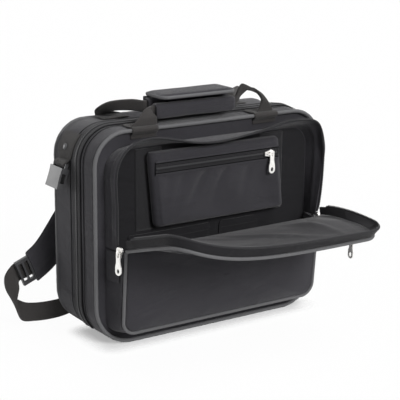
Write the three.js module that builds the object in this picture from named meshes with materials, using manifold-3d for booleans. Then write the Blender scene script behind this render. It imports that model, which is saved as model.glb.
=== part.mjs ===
import * as THREE from 'three';
import { mergeVertices } from 'three/addons/utils/BufferGeometryUtils.js';
import Module from 'manifold-3d';

// A soft clarinet case that stands on its narrow underside. The front shell swings on the fabric hinge along
// the bottom, and carries a front pocket whose flap stands open. The rear shell holds the fitted foam tray.
// Millimetres, +Z up. The front faces -Y. The origin is the middle of the underside.

const wasm = await Module();
wasm.setup();
const { Manifold } = wasm;

// Driving dimensions of the two shells
const caseWidth = 355;
const caseHeight = 281.5;
const caseDepth = 104;
const lidDepth = 41.8;
const topCornerRadius = 45;
const bottomCornerRadius = 55;
const frontEdgeInset = 1;
const backEdgeInset = 1.5;
const edgeBevel = 1.5;
const shellWall = 7;

// Clearances and fineness shared by every piece
const seatGap = 0.3;
const cutOverrun = 4;
const cornerSteps = 8;
const smallCurveSteps = 3;

// Piping round the shell edges and the pocket
const pipingRadius = 2.6;
const pocketPipingRadius = 2.2;
const pipingSides = 6;
const pipeSink = pipingRadius * 0.6;

// Main zip
const tapeWidth = 7.6;
const tapeThickness = 1.2;
const chainGap = 3.2;
const toothPitch = 6;
const toothReach = 1.25;
const toothHeight = 1.8;
const zipTurnSteps = 4;
const mainSliderHeights = [118, 157];
const cornerSliderTurn = 7.5;

// Zip sliders and their pulls
const sliderWidth = 10;
const sliderLength = 13;
const sliderPlate = 2.2;
const bailWidth = 2;
const bailHeight = 4.4;
const bailBar = 1.1;
const bailReach = sliderLength * 0.34;
const pullLength = 30;
const pullWidth = 9.5;
const pullNeckWidth = 6.6;
const pullThickness = 1.6;
const pullWindow = 5;
const pullHoleLength = 6;
const pullHoleWidth = 4;

// Front pocket
const pocketFrontHalfWidth = 154.2;
const pocketFlare = 5.8;
const pocketHalfWidth = pocketFrontHalfWidth + pocketFlare;
const pocketTop = 258.5;
const pocketBottom = 18;
const pocketFrontBottom = 21;
const pocketDepth = 40;
const pocketBottomSetback = 9;
const pocketCornerRadius = 20;
const pocketTopRadius = 28;
const pocketWall = 2.4;
const panelThickness = 2.8;
const panelCrown = 3;
const foldHeight = 134;
const collarDepth = 25;
const collarSteps = 36;

// Flap of the pocket
const flapTop = 259;
const flapOpenAngle = 72;
const flapDroop = 37;
const flapDroopSpread = 5;
const flapDroopCurl = 1.6;
const rimFlare = 9;
const flapStations = 14;
const flapRows = 6;
const outerZipDrop = 32;
const outerZipMargin = 14.2;
// The tape's facets and those of the sagged panel below it don't meet, so it stands a little clear.
const outerZipStand = 0.8;
const outerZipWidth = 12;
const outerSliderInset = 11;
const outerZipHeight = flapTop - outerZipDrop;
const outerZipHalf = pocketFrontHalfWidth - outerZipMargin;
const outerSliderPlace = outerZipHalf - outerSliderInset;

// Organizer on the case face behind the flap
const stripWidth = 39;
const stripInset = 44;
const stripBottom = 147;
const stripThickness = 1.6;
const slipPocketTop = 143;
const slipPocketBottom = 32;
const slipPocketGap = 1.5;
const slipPocketCloth = 1.4;
const leftSlipPocket = [-127, -1.5];
const rightSlipPocket = [13, 76];

// Accessory pouch held by the strips
const pouchHalfWidth = 102;
const pouchCentre = 4;
const pouchHeight = 99;
const pouchHang = 8.5;
const pouchDepth = 15.4;
const pouchCornerRadius = 6;
const pouchZipDrop = 20;
const pouchZipWidth = 12;
const pouchSliderInset = 24;
const pouchLeanShare = 0.1;
const pouchTop = pocketTop - pouchHang;
const pouchBottom = pouchTop - pouchHeight;
const pouchZipHeight = pouchTop - pouchZipDrop;

// Handles
const webbingWidth = 38;
const webbingThickness = 1.6;
const foldedWidth = 15;
const foldedThickness = 4.6;
const handleCentre = -9.5;
const handleSpan = 188;
const gripLeft = -84;
const gripRight = 37;
const frontGripDepth = 17;
const frontGripHeight = 20;
const frontGripRise = 7;
const rearGripDepth = 17;
const rearGripRise = 10;
const rearGripHeight = 22;
const rearHandleInset = 9;
const wrapDepth = 42;
const wrapEndInset = 4;
const wrapThickness = 7;
const wrapRise = 33;
const frontPeak = 38;

// Side tabs and the side release buckles that hang from them
const tabWidth = 27;
const tabPatchWidth = 38;
const tabThickness = 2;
const tabSetback = 20;
const buckleWidth = 32;
const buckleLength = 32;
const buckleThickness = 11;
const buckleBarRadius = 1.75;
const buckleBarDrop = 5.5;
const buckleTilt = 18;
const buckleWall = 2;
const rivetRadius = 4.5;
const rivetHeight = 1.8;
const rivetStep = 1.7;

// Shoulder straps and the back panel
const strapWidth = 45;
const strapThickness = 8;
const strapStandoff = 30;
const lowerWebbingWidth = 26;
const lowerWebbingThickness = 1.8;
const lockWidth = 36;
const lockLength = 20;
const lockThickness = 5;
const backPadHalfWidth = 118;
const backPadBottom = 52;
const backPadTop = 220;
const backPadThickness = 6;

// Fitted tray and lid pad
const trayRecess = 2;
const trayFloor = 5;
const padThickness = 6;
const jointWidth = 46;
const lowerJointLength = 262;
const upperJointLength = 236;
const bellLength = 108;
const bellWidth = 82;
const bellSocketWidth = 44;
const barrelLength = 66;
const barrelWidth = 34;
const mouthpieceLength = 92;
const mouthpieceWidth = 32;
const boxLength = 150;
const boxWidth = 72;
const trayMargin = 16;
const trayRib = 12;
const recessRadius = 8;

// Levels along the depth that follow from the sizes above
const frontY = -caseDepth / 2;
const backY = caseDepth / 2;
const splitY = frontY + lidDepth;
const frontFaceY = frontY + pipingRadius + seatGap;
const backFaceY = backY - pipingRadius - seatGap;
const panelFaceY = frontFaceY - pocketDepth;
const collarEdgeY = frontFaceY - collarDepth;
const quarterTurn = Math.PI / 2;

// Solids

function volumeSign(points, faces) {
  let sum = 0;
  for (let i = 0; i < faces.length; i += 3) {
    const [a, b, c] = [faces[i], faces[i + 1], faces[i + 2]].map((k) => points[k]);
    sum += a.dot(b.clone().cross(c));
  }
  return Math.sign(sum);
}

// Makes a solid of a closed three.js geometry, with its faces turned outwards.
function toSolid(geometry) {
  const bare = geometry.clone();
  bare.deleteAttribute('normal');
  bare.deleteAttribute('uv');
  const merged = mergeVertices(bare);
  const place = merged.attributes.position;
  const points = Array.from({ length: place.count }, (_, i) => (
    new THREE.Vector3().fromBufferAttribute(place, i)
  ));
  const faces = Array.from(merged.index.array);
  if (volumeSign(points, faces) < 0) {
    faces.reverse();
  }
  return new Manifold(new wasm.Mesh({
    numProp: 3,
    vertProperties: new Float32Array(place.array),
    triVerts: new Uint32Array(faces),
  }));
}

function toGeometry(solid) {
  const mesh = solid.getMesh();
  const geometry = new THREE.BufferGeometry();
  geometry.setAttribute('position', new THREE.Float32BufferAttribute(mesh.vertProperties, 3));
  geometry.setIndex(Array.from(mesh.triVerts));
  geometry.computeVertexNormals();
  return geometry;
}

// Joins rings of equally many points into one closed solid. A loft either closes on itself or has flat ends.
function loft(rings, closesOnItself = false) {
  const count = rings[0].length;
  const faces = [];
  const rows = closesOnItself ? rings.length : rings.length - 1;
  for (let row = 0; row < rows; row += 1) {
    const here = row * count;
    const next = ((row + 1) % rings.length) * count;
    for (let i = 0; i < count; i += 1) {
      const j = (i + 1) % count;
      faces.push(here + i, here + j, next + j, here + i, next + j, next + i);
    }
  }
  if (!closesOnItself) {
    const last = (rings.length - 1) * count;
    for (let i = 1; i < count - 1; i += 1) {
      faces.push(0, i + 1, i, last, last + i, last + i + 1);
    }
  }
  const geometry = new THREE.BufferGeometry().setFromPoints(rings.flat());
  geometry.setIndex(faces);
  return toSolid(geometry);
}

function box(low, high) {
  const size = new THREE.Vector3().subVectors(high, low);
  const geometry = new THREE.BoxGeometry(size.x, size.y, size.z);
  geometry.translate(low.x + size.x / 2, low.y + size.y / 2, low.z + size.z / 2);
  return toSolid(geometry);
}

// Extrudes a flat shape along Z, with as many segments to each of its curves as are asked for.
function extrude(shape, depth, curveSegments) {
  return new THREE.ExtrudeGeometry(shape, { depth, bevelEnabled: false, curveSegments });
}

// Extrudes a shape drawn in the plane of the case face, from one depth to another.
function extrudeDepth(shape, fromY, toY) {
  const geometry = extrude(shape, toY - fromY, cornerSteps);
  geometry.rotateX(quarterTurn);
  geometry.translate(0, toY, 0);
  return toSolid(geometry);
}

// Outlines

function arc(x, z, radius, startAngle, steps = cornerSteps) {
  return Array.from({ length: steps + 1 }, (_, i) => {
    const angle = startAngle + (quarterTurn * i) / steps;
    return new THREE.Vector2(x + radius * Math.cos(angle), z + radius * Math.sin(angle));
  });
}

// Points round a rectangle with rounded corners, anticlockwise in the plane of X and Z.
function roundedOutline({ halfWidth, bottom, top, bottomRadius, topRadius, centre = 0 }) {
  return [
    ...arc(centre + halfWidth - bottomRadius, bottom + bottomRadius, bottomRadius, -quarterTurn),
    ...arc(centre + halfWidth - topRadius, top - topRadius, topRadius, 0),
    ...arc(centre - halfWidth + topRadius, top - topRadius, topRadius, quarterTurn),
    ...arc(centre - halfWidth + bottomRadius, bottom + bottomRadius, bottomRadius, 2 * quarterTurn),
  ];
}

// The case outline drawn in by an inset, with its underside raised by a separate amount.
function caseFrame(inset, floorInset = 0) {
  return {
    halfWidth: caseWidth / 2 - inset,
    bottom: floorInset,
    top: caseHeight - inset,
    bottomRadius: bottomCornerRadius - inset,
    topRadius: topCornerRadius - inset,
  };
}

// Open path up one side, over the top and down the other side.
function archPath({ halfWidth, bottom, top, radius }) {
  return [
    new THREE.Vector2(halfWidth, bottom),
    ...arc(halfWidth - radius, top - radius, radius, 0),
    ...arc(-halfWidth + radius, top - radius, radius, quarterTurn),
    new THREE.Vector2(-halfWidth, bottom),
  ];
}

// Open path down one side, along the bottom and up the other side.
function troughPath({ halfWidth, bottom, top, radius }) {
  return [
    new THREE.Vector2(-halfWidth, top),
    ...arc(-halfWidth + radius, bottom + radius, radius, 2 * quarterTurn),
    ...arc(halfWidth - radius, bottom + radius, radius, -quarterTurn),
    new THREE.Vector2(halfWidth, top),
  ];
}

const atDepth = (points, y) => points.map((p) => new THREE.Vector3(p.x, y, p.y));

function outwardNormals(points) {
  return points.map((_, i) => {
    const before = points[Math.max(i - 1, 0)];
    const after = points[Math.min(i + 1, points.length - 1)];
    return new THREE.Vector3(after.z - before.z, 0, before.x - after.x).normalize();
  });
}

// Evenly spaced points on a line through the given points.
function resample(points, steps) {
  const line = new THREE.CurvePath();
  for (let i = 1; i < points.length; i += 1) {
    line.add(new THREE.LineCurve3(points[i - 1], points[i]));
  }
  return Array.from({ length: steps + 1 }, (_, i) => line.getPointAt(Math.min(i / steps, 1)));
}

// Forms

// A body through case outlines at several depths.
function stack(stations) {
  return loft(stations.map(([y, frame]) => atDepth(roundedOutline(frame), y)));
}

// A closed form made of one outline drawn in to shares of itself at several depths.
function crowned(outline, stations, slope = () => 0) {
  const middle = outline.reduce((sum, p) => sum.add(p), new THREE.Vector2()).divideScalar(outline.length);
  return loft(stations.map(([share, y]) => outline.map((p) => {
    const q = p.clone().sub(middle).multiplyScalar(share).add(middle);
    return new THREE.Vector3(q.x, y + slope(q.y), q.y);
  })));
}

// A wall between two edges that run side by side, set off outwards by two distances.
function wallBetween(edgeA, edgeB, inner, outer) {
  const normalsA = outwardNormals(edgeA);
  const normalsB = outwardNormals(edgeB);
  return loft(edgeA.map((p, i) => [
    p.clone().addScaledVector(normalsA[i], inner),
    edgeB[i].clone().addScaledVector(normalsB[i], inner),
    edgeB[i].clone().addScaledVector(normalsB[i], outer),
    p.clone().addScaledVector(normalsA[i], outer),
  ]));
}

// Round cord along a path in planes of X and Z, which may close on itself.
function piping(points, radius, closesOnItself) {
  const count = points.length;
  const rings = points.map((p, i) => {
    const before = points[closesOnItself ? (i + count - 1) % count : Math.max(i - 1, 0)];
    const after = points[closesOnItself ? (i + 1) % count : Math.min(i + 1, count - 1)];
    const out = new THREE.Vector3(after.z - before.z, 0, before.x - after.x).normalize();
    return Array.from({ length: pipingSides }, (_, k) => {
      const angle = (k + 1 / 2) * (2 * Math.PI) / pipingSides;
      return p.clone().addScaledVector(out, radius * Math.cos(angle))
        .add(new THREE.Vector3(0, radius * Math.sin(angle), 0));
    });
  });
  return loft(rings, closesOnItself);
}

// Flat webbing along hand-placed stations. Each has its place, the direction and width across it, and its
// thickness. Between them all three follow one smooth curve.
function webbing(stations, stepsEach = 4) {
  const steps = stepsEach * (stations.length - 1);
  const route = new THREE.CatmullRomCurve3(stations.map((s) => s.at));
  const across = new THREE.CatmullRomCurve3(stations.map((s) => s.across));
  const thickness = new THREE.CatmullRomCurve3(stations.map((s) => new THREE.Vector3(s.thickness, 0, 0)));
  const rings = Array.from({ length: steps + 1 }, (_, i) => {
    const t = i / steps;
    const place = route.getPoint(t);
    const side = across.getPoint(t).multiplyScalar(1 / 2);
    const rise = route.getTangent(t).cross(side).normalize().multiplyScalar(thickness.getPoint(t).x / 2);
    return [
      place.clone().sub(side).sub(rise),
      place.clone().add(side).sub(rise),
      place.clone().add(side).add(rise),
      place.clone().sub(side).add(rise),
    ];
  });
  return loft(rings);
}

const station = (at, across, thickness) => ({
  at: new THREE.Vector3(...at),
  across: new THREE.Vector3(...across),
  thickness,
});

// Shells

function frontShell() {
  const outer = stack([
    [frontFaceY, caseFrame(frontEdgeInset + edgeBevel, edgeBevel)],
    [frontFaceY + edgeBevel, caseFrame(frontEdgeInset)],
    [splitY - seatGap / 2, caseFrame(0)],
  ]);
  const hollow = stack([
    [frontFaceY + shellWall, caseFrame(frontEdgeInset + shellWall, shellWall)],
    [splitY + cutOverrun, caseFrame(shellWall, shellWall)],
  ]);
  return outer.subtract(hollow);
}

function rearShell() {
  const outer = stack([
    [splitY + seatGap / 2, caseFrame(0)],
    [backFaceY - edgeBevel, caseFrame(backEdgeInset)],
    [backFaceY, caseFrame(backEdgeInset + edgeBevel, edgeBevel)],
  ]);
  const hollow = stack([
    [splitY - cutOverrun, caseFrame(shellWall, shellWall)],
    [backFaceY - shellWall, caseFrame(backEdgeInset + shellWall, shellWall)],
  ]);
  return outer.subtract(hollow);
}

function shellPiping(y, edgeInset) {
  const frame = caseFrame(edgeInset + pipeSink, pipingRadius + seatGap);
  return piping(atDepth(roundedOutline(frame), y), pipingRadius, true);
}

// The zip runs from half way round one bottom corner, over the top, to half way round the other.
function zipPath() {
  const side = caseWidth / 2;
  const low = side - bottomCornerRadius;
  const high = side - topCornerRadius;
  return [
    ...arc(low, bottomCornerRadius, bottomCornerRadius, -quarterTurn).slice(zipTurnSteps),
    ...arc(high, caseHeight - topCornerRadius, topCornerRadius, 0),
    ...arc(-high, caseHeight - topCornerRadius, topCornerRadius, quarterTurn),
    ...arc(-low, bottomCornerRadius, bottomCornerRadius, 2 * quarterTurn).slice(0, -zipTurnSteps),
  ];
}

// The zip tapes lie on the shells each side of the opening. Their teeth stand in turn across it, so the tape
// on the rear shell starts its teeth half a pitch along from the tape on the lid.
function zipTape(towardsBack, toothOffset) {
  const outline = zipPath();
  const near = splitY + (towardsBack * chainGap) / 2;
  const far = near + towardsBack * tapeWidth;
  const tape = wallBetween(atDepth(outline, near), atDepth(outline, far), seatGap, seatGap + tapeThickness);
  const line = atDepth(outline, splitY);
  const length = line.slice(1).reduce((sum, p, i) => sum + p.distanceTo(line[i]), 0);
  const run = resample(line, Math.round(length / (toothPitch / 4)));
  const teeth = [];
  for (let i = 2 + toothOffset; i < run.length - 2; i += 4) {
    const along = run[i + 1].clone().sub(run[i - 1]).normalize();
    const out = new THREE.Vector3(along.z, 0, -along.x);
    const reach = chainGap / 2 + toothReach + tapeThickness;
    const tooth = new THREE.BoxGeometry(toothPitch / 2 - seatGap, toothHeight, reach);
    tooth.applyMatrix4(new THREE.Matrix4().makeBasis(along, out, along.clone().cross(out)));
    const middle = run[i].clone().addScaledVector(out, (seatGap + tapeThickness + toothHeight) / 2);
    middle.y = splitY + towardsBack * (reach / 2 - toothReach);
    tooth.translate(middle.x, middle.y, middle.z);
    teeth.push(toSolid(tooth));
  }
  return Manifold.union([tape, ...teeth]);
}

function hingeTape(fromY, toY) {
  const halfWidth = caseWidth / 2 - bottomCornerRadius;
  return box(
    new THREE.Vector3(-halfWidth, fromY, shellWall + seatGap),
    new THREE.Vector3(halfWidth, toY, shellWall + seatGap + tapeThickness),
  );
}

// Tray and lid pad

function trayFrame(inset) {
  return caseFrame(shellWall + seatGap + inset, shellWall + 2 * seatGap + tapeThickness);
}

function roundedShape(x, z, width, height, radius) {
  const outline = roundedOutline({
    halfWidth: width / 2,
    centre: x + width / 2,
    bottom: z,
    top: z + height,
    bottomRadius: radius,
    topRadius: radius,
  });
  return new THREE.Shape(outline);
}

// The bell lies on its side, so its nest widens from the socket to the rim in one flaring curve.
function bellShape(x, z) {
  const middle = z + bellWidth / 2;
  const waist = x + bellLength / 3;
  const shape = new THREE.Shape();
  shape.moveTo(x + bellLength, middle - bellSocketWidth / 2);
  shape.lineTo(x + bellLength, middle + bellSocketWidth / 2);
  shape.quadraticCurveTo(waist, middle + bellSocketWidth / 2, x, middle + bellWidth / 2);
  shape.lineTo(x, middle - bellWidth / 2);
  shape.quadraticCurveTo(waist, middle - bellSocketWidth / 2, x + bellLength, middle - bellSocketWidth / 2);
  return shape;
}

// Foam block with one nest for each piece of the instrument and a box for small things.
function instrumentTray() {
  const block = stack([
    [splitY + trayRecess, trayFrame(0)],
    [backFaceY - shellWall - seatGap, trayFrame(backEdgeInset)],
  ]);
  const left = -caseWidth / 2 + shellWall + trayMargin;
  const right = -left;
  const firstRow = shellWall + trayMargin;
  const secondRow = firstRow + jointWidth + trayRib;
  const thirdRow = secondRow + jointWidth + trayRib;
  const boxLeft = left + bellLength + trayRib;
  const nests = [
    roundedShape(left, firstRow, lowerJointLength, jointWidth, recessRadius),
    roundedShape(left, secondRow, upperJointLength, jointWidth, recessRadius),
    bellShape(left, thirdRow),
    roundedShape(right - barrelLength, secondRow, barrelLength, barrelWidth, recessRadius),
    roundedShape(right - mouthpieceWidth, thirdRow, mouthpieceWidth, mouthpieceLength, recessRadius),
    roundedShape(boxLeft, thirdRow, boxLength, boxWidth, recessRadius),
  ];
  const floorY = backFaceY - shellWall - seatGap - trayFloor;
  const cuts = nests.map((nest) => extrudeDepth(nest, splitY - cutOverrun, floorY));
  return cuts.reduce((solid, cut) => solid.subtract(cut), block);
}

function lidPad() {
  const inset = shellWall + 3 * seatGap + frontEdgeInset;
  const frame = caseFrame(inset, shellWall + 2 * seatGap + tapeThickness);
  const base = frontFaceY + shellWall + seatGap;
  return crowned(roundedOutline(frame), [
    [1, base],
    [1, base + padThickness / 3],
    [0.985, base + padThickness * 0.6],
    [0.94, base + padThickness * 0.85],
    [0.8, base + padThickness],
  ]);
}

// Pocket

// The lower front leans back towards the underside.
const panelSlope = (z) => (pocketBottomSetback * (foldHeight - z)) / (foldHeight - pocketFrontBottom);
const pipeFrame = pocketFrontHalfWidth - pocketPipingRadius;
const panelHalfWidth = pipeFrame - pocketPipingRadius - seatGap;
const panelBottom = pocketFrontBottom + 2 * pocketPipingRadius + seatGap;
const pipeY = panelFaceY + panelThickness / 2;
const gussetEdgeY = pipeY + pocketPipingRadius + seatGap;

function pocketGusset() {
  const back = troughPath({
    halfWidth: pocketHalfWidth,
    bottom: pocketBottom,
    top: foldHeight,
    radius: pocketCornerRadius,
  });
  const front = troughPath({
    halfWidth: pocketFrontHalfWidth,
    bottom: pocketFrontBottom,
    top: foldHeight,
    radius: pocketCornerRadius,
  });
  const frontEdge = front.map((p) => new THREE.Vector3(p.x, gussetEdgeY + panelSlope(p.y), p.y));
  return wallBetween(atDepth(back, frontFaceY - seatGap), frontEdge, -pocketWall, 0);
}

function pocketPanel() {
  const outline = roundedOutline({
    halfWidth: panelHalfWidth,
    bottom: panelBottom,
    top: foldHeight - seatGap,
    bottomRadius: pocketCornerRadius - 2 * pocketPipingRadius,
    topRadius: pocketPipingRadius,
  });
  return crowned(outline, [
    [0.5, panelFaceY - panelCrown],
    [0.85, panelFaceY - panelCrown * 0.7],
    [1, panelFaceY],
    [1, panelFaceY + panelThickness],
    [0.85, panelFaceY + panelThickness - panelCrown * 0.7],
    [0.5, panelFaceY + panelThickness - panelCrown],
  ], panelSlope);
}

function pocketPiping() {
  const path = troughPath({
    halfWidth: pipeFrame,
    bottom: pocketFrontBottom + pocketPipingRadius,
    top: foldHeight - seatGap,
    radius: pocketCornerRadius - pocketPipingRadius,
  });
  const line = path.map((p) => new THREE.Vector3(p.x, pipeY + panelSlope(p.y), p.y));
  return piping(line, pocketPipingRadius, false);
}

// The free edge of the collar is slack: it stands up at the corners, sags in the middle and flares to the
// right. Shares of the pocket's half width and of the collar's height above the fold, from right to left.
const collarEdgeShares = [
  [1.0, 0.0], [1.03, 0.12], [1.06, 0.5], [1.055, 0.8], [0.985, 1.05], [0.7, 1.115],
  [0.38, 1.045], [0.0, 0.99], [-0.22, 1.005], [-0.68, 1.11], [-0.88, 1.03], [-0.98, 0.84], [-0.985, 0.4],
  [-0.985, 0.0],
];

function gussetCollar() {
  const height = pocketTop - foldHeight;
  const base = archPath({
    halfWidth: pocketHalfWidth,
    bottom: foldHeight + seatGap,
    top: pocketTop,
    radius: pocketTopRadius,
  });
  const free = new THREE.CatmullRomCurve3(collarEdgeShares.map(([x, z]) => (
    new THREE.Vector3(x * pocketHalfWidth, collarEdgeY, foldHeight + seatGap + z * height)
  )));
  const baseEdge = resample(atDepth(base, frontFaceY - seatGap), collarSteps);
  return wallBetween(baseEdge, free.getSpacedPoints(collarSteps), -pocketWall, 0);
}

// Organizer

function gripStrip(side) {
  const x = side * (pocketHalfWidth - stripInset - stripWidth / 2);
  const backY0 = frontFaceY - seatGap;
  return box(
    new THREE.Vector3(x - stripWidth / 2, backY0 - stripThickness, stripBottom),
    new THREE.Vector3(x + stripWidth / 2, backY0, pocketTop - 2 * pocketWall),
  );
}

// A flat patch pocket, sewn down its sides and along its bottom and open at the top.
function slipPocket([left, right]) {
  const backY0 = frontFaceY - seatGap;
  const frontY0 = backY0 - slipPocketGap - slipPocketCloth;
  const whole = box(
    new THREE.Vector3(left, frontY0, slipPocketBottom),
    new THREE.Vector3(right, backY0, slipPocketTop),
  );
  const inside = box(
    new THREE.Vector3(left + slipPocketCloth, frontY0 + slipPocketCloth, slipPocketBottom + slipPocketCloth),
    new THREE.Vector3(right - slipPocketCloth, backY0 + cutOverrun, slipPocketTop + cutOverrun),
  );
  return whole.subtract(inside);
}

// Pouch

// It hangs a little askew: each level lies further to the right than the level above it.
const pouchLean = (z) => (pouchTop - pouchHeight / 2 - z) * pouchLeanShare;
const pouchBackY = frontFaceY - 2 * seatGap - stripThickness;
const pouchFrontY = pouchBackY - pouchDepth;
const pouchFlatShare = 0.92;

function pouch() {
  const outline = roundedOutline({
    halfWidth: pouchHalfWidth,
    centre: pouchCentre,
    bottom: pouchBottom,
    top: pouchTop,
    bottomRadius: pouchCornerRadius,
    topRadius: pouchCornerRadius,
  });
  const leaning = outline.map((p) => new THREE.Vector2(p.x + pouchLean(p.y), p.y));
  return crowned(leaning, [
    [pouchFlatShare, pouchFrontY],
    [0.975, pouchFrontY + pouchDepth * 0.22],
    [1, pouchFrontY + pouchDepth * 0.6],
    [0.98, pouchFrontY + pouchDepth * 0.9],
    [0.93, pouchBackY],
  ]);
}

function pouchZipTape() {
  const reach = pouchHalfWidth * pouchFlatShare - seatGap;
  const half = pouchZipWidth / 2;
  const centre = pouchCentre + pouchLean(pouchZipHeight);
  const tapeBackY = pouchFrontY - seatGap;
  return box(
    new THREE.Vector3(centre - reach, tapeBackY - tapeThickness, pouchZipHeight - half),
    new THREE.Vector3(centre + reach, tapeBackY, pouchZipHeight + half),
  );
}

// Zip sliders. Each is drawn on its back at the origin, with the chain along its length and the pull on top.

function sliderBody() {
  const outline = new THREE.Shape();
  const half = sliderLength / 2;
  outline.moveTo(-sliderWidth * 0.28, -half);
  outline.lineTo(sliderWidth * 0.28, -half);
  outline.quadraticCurveTo(sliderWidth * 0.3, -half * 0.2, sliderWidth / 2, half * 0.3);
  outline.quadraticCurveTo(sliderWidth / 2, half, sliderWidth * 0.2, half);
  outline.lineTo(-sliderWidth * 0.2, half);
  outline.quadraticCurveTo(-sliderWidth / 2, half, -sliderWidth / 2, half * 0.3);
  outline.quadraticCurveTo(-sliderWidth * 0.3, -half * 0.2, -sliderWidth * 0.28, -half);
  const plate = extrude(outline, sliderPlate, smallCurveSteps);
  const bail = new THREE.Shape();
  const reach = bailReach;
  const sink = sliderPlate / 2;
  const foot = reach - bailBar;
  bail.moveTo(-reach, -sink);
  bail.lineTo(-foot, -sink);
  bail.lineTo(-foot, bailHeight * 0.45);
  bail.quadraticCurveTo(-foot, bailHeight - bailBar, 0, bailHeight - bailBar);
  bail.quadraticCurveTo(foot, bailHeight - bailBar, foot, bailHeight * 0.45);
  bail.lineTo(foot, -sink);
  bail.lineTo(reach, -sink);
  bail.lineTo(reach, bailHeight * 0.5);
  bail.quadraticCurveTo(reach, bailHeight, 0, bailHeight);
  bail.quadraticCurveTo(-reach, bailHeight, -reach, bailHeight * 0.5);
  const bar = extrude(bail, bailWidth, smallCurveSteps);
  bar.rotateX(quarterTurn);
  bar.rotateZ(quarterTurn);
  bar.translate(-bailWidth / 2, 0, sliderPlate);
  return toSolid(plate).add(toSolid(bar));
}

// The crossbar of the pull passes under the bail and is where it turns, so it lies at the origin here.
const pullAxisRise = sliderPlate + (bailHeight - bailBar) / 2;

function pullTab() {
  const end = pullThickness / 2;
  const half = pullWidth / 2;
  const neck = pullNeckWidth / 2;
  const neckEnd = -pullWindow - pullThickness;
  const widest = -pullLength * 0.62;
  const tip = -pullLength + half + end;
  const outline = new THREE.Shape();
  outline.moveTo(-neck, end);
  outline.lineTo(-neck, neckEnd);
  outline.quadraticCurveTo(-neck * 0.8, -pullLength * 0.4, -half, widest);
  outline.lineTo(-half, tip);
  outline.absarc(0, tip, half, Math.PI, 2 * Math.PI, false);
  outline.lineTo(half, widest);
  outline.quadraticCurveTo(neck * 0.8, -pullLength * 0.4, neck, neckEnd);
  outline.lineTo(neck, end);
  const window = new THREE.Path();
  const side = bailWidth / 2 + 2 * seatGap;
  window.moveTo(-side, -end);
  window.lineTo(side, -end);
  window.lineTo(side, -end - pullWindow);
  window.lineTo(-side, -end - pullWindow);
  const hole = new THREE.Path();
  hole.absellipse(0, tip + end, pullHoleWidth / 2, pullHoleLength / 2, 0, 2 * Math.PI, true);
  outline.holes.push(window, hole);
  const tab = extrude(outline, pullThickness, smallCurveSteps + 2);
  tab.translate(0, 0, -pullThickness / 2);
  return toSolid(tab);
}

// Handles

const handleEnds = [handleCentre - handleSpan / 2, handleCentre + handleSpan / 2];
const frontAnchorTop = caseHeight - frontEdgeInset - pipeSink + pipingRadius + seatGap + webbingThickness;
const rearAnchorTop = caseHeight - backEdgeInset * 0.4 + seatGap + webbingThickness;
const handlePivotGap = webbingThickness / 2 + seatGap / 3;

// A patch of webbing on the lid's top edge that passes round the piping and down the face.
function frontHandleAnchor(x) {
  const half = webbingThickness / 2;
  const across = [webbingWidth, 0, 0];
  const round = pipingRadius + seatGap + half;
  const pipeZ = caseHeight - frontEdgeInset - pipeSink;
  const top = caseHeight - frontEdgeInset + seatGap + half;
  const aroundPipe = (angle) => (
    station([x, frontY + round * Math.cos(angle), pipeZ + round * Math.sin(angle)], across, webbingThickness)
  );
  return webbing([
    station([x, frontY + 6 * round, top + frontEdgeInset], across, webbingThickness),
    station([x, frontY + 3 * round, top + frontEdgeInset / 2], across, webbingThickness),
    aroundPipe(quarterTurn),
    aroundPipe(quarterTurn * 1.5),
    aroundPipe(quarterTurn * 2),
    aroundPipe(quarterTurn * 2.5),
    station([x, frontFaceY - seatGap - half, pipeZ - 1.8 * round], across, webbingThickness),
    station([x, frontFaceY - seatGap - half, pipeZ - 3 * round], across, webbingThickness),
  ], 2);
}

function rearHandleAnchor(x) {
  const half = webbingThickness / 2;
  const across = [webbingWidth, 0, 0];
  const nearEdge = backFaceY - rearHandleInset;
  return webbing([
    station([x, nearEdge + half, rearAnchorTop - half], across, webbingThickness),
    station([x, nearEdge - webbingWidth / 3, rearAnchorTop - half], across, webbingThickness),
    station([x, nearEdge - webbingWidth * 0.6, rearAnchorTop - half], across, webbingThickness),
  ], 1);
}

const frontPivot = new THREE.Vector3(0, frontY, frontAnchorTop + handlePivotGap);
const rearPivot = new THREE.Vector3(0, backFaceY - rearHandleInset, rearAnchorTop + handlePivotGap);
const frontGripBottom = caseHeight + frontGripRise;
const frontGripBackY = frontY + frontGripDepth;
const rearGripFrontY = frontGripBackY + 4 * seatGap;
const rearGripBottom = caseHeight + rearGripRise;

const onEdge = [0, 0, -foldedWidth];

// Stations that keep the webbing straight where it passes through a grip.
function throughGrip(y, z) {
  const stub = foldedWidth / 4;
  const places = [gripLeft - stub, gripLeft, handleCentre, gripRight, gripRight + stub];
  return places.map((x) => station([x, y, z], onEdge, foldedThickness));
}

// The loop starts flat at its ends, is pinched to a narrow neck, and runs on edge through the grip.
function frontHandle() {
  const [left, right] = handleEnds;
  const y = frontY + frontGripDepth / 2;
  const z = frontGripBottom + frontGripHeight / 2;
  const base = frontPivot;
  const thin = webbingThickness;
  const thick = foldedThickness;
  const flat = [webbingWidth, 0, 0];
  const pinched = [webbingWidth * 0.7, 0, 0];
  const turned = [foldedWidth * 0.8, 0, -foldedWidth * 0.5];
  const back = (width) => width.map((w) => -w);
  return webbing([
    station([left, base.y, base.z], flat, thin),
    station([left + thick, base.y, base.z + foldedWidth * 0.6], pinched, thick / 2),
    station([left + 2 * thick, base.y + thick, base.z + foldedWidth], turned, thick),
    ...throughGrip(y, z),
    station([gripRight + foldedWidth, y, base.z + frontPeak - foldedWidth / 2], onEdge, thick),
    station([right - webbingWidth / 3, base.y + thick / 2, base.z + frontPeak * 0.7], back(turned), thick),
    station([right, base.y, base.z + foldedWidth * 0.8], back(pinched), thick / 2),
    station([right, base.y, base.z], back(flat), thin),
  ]);
}

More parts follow.
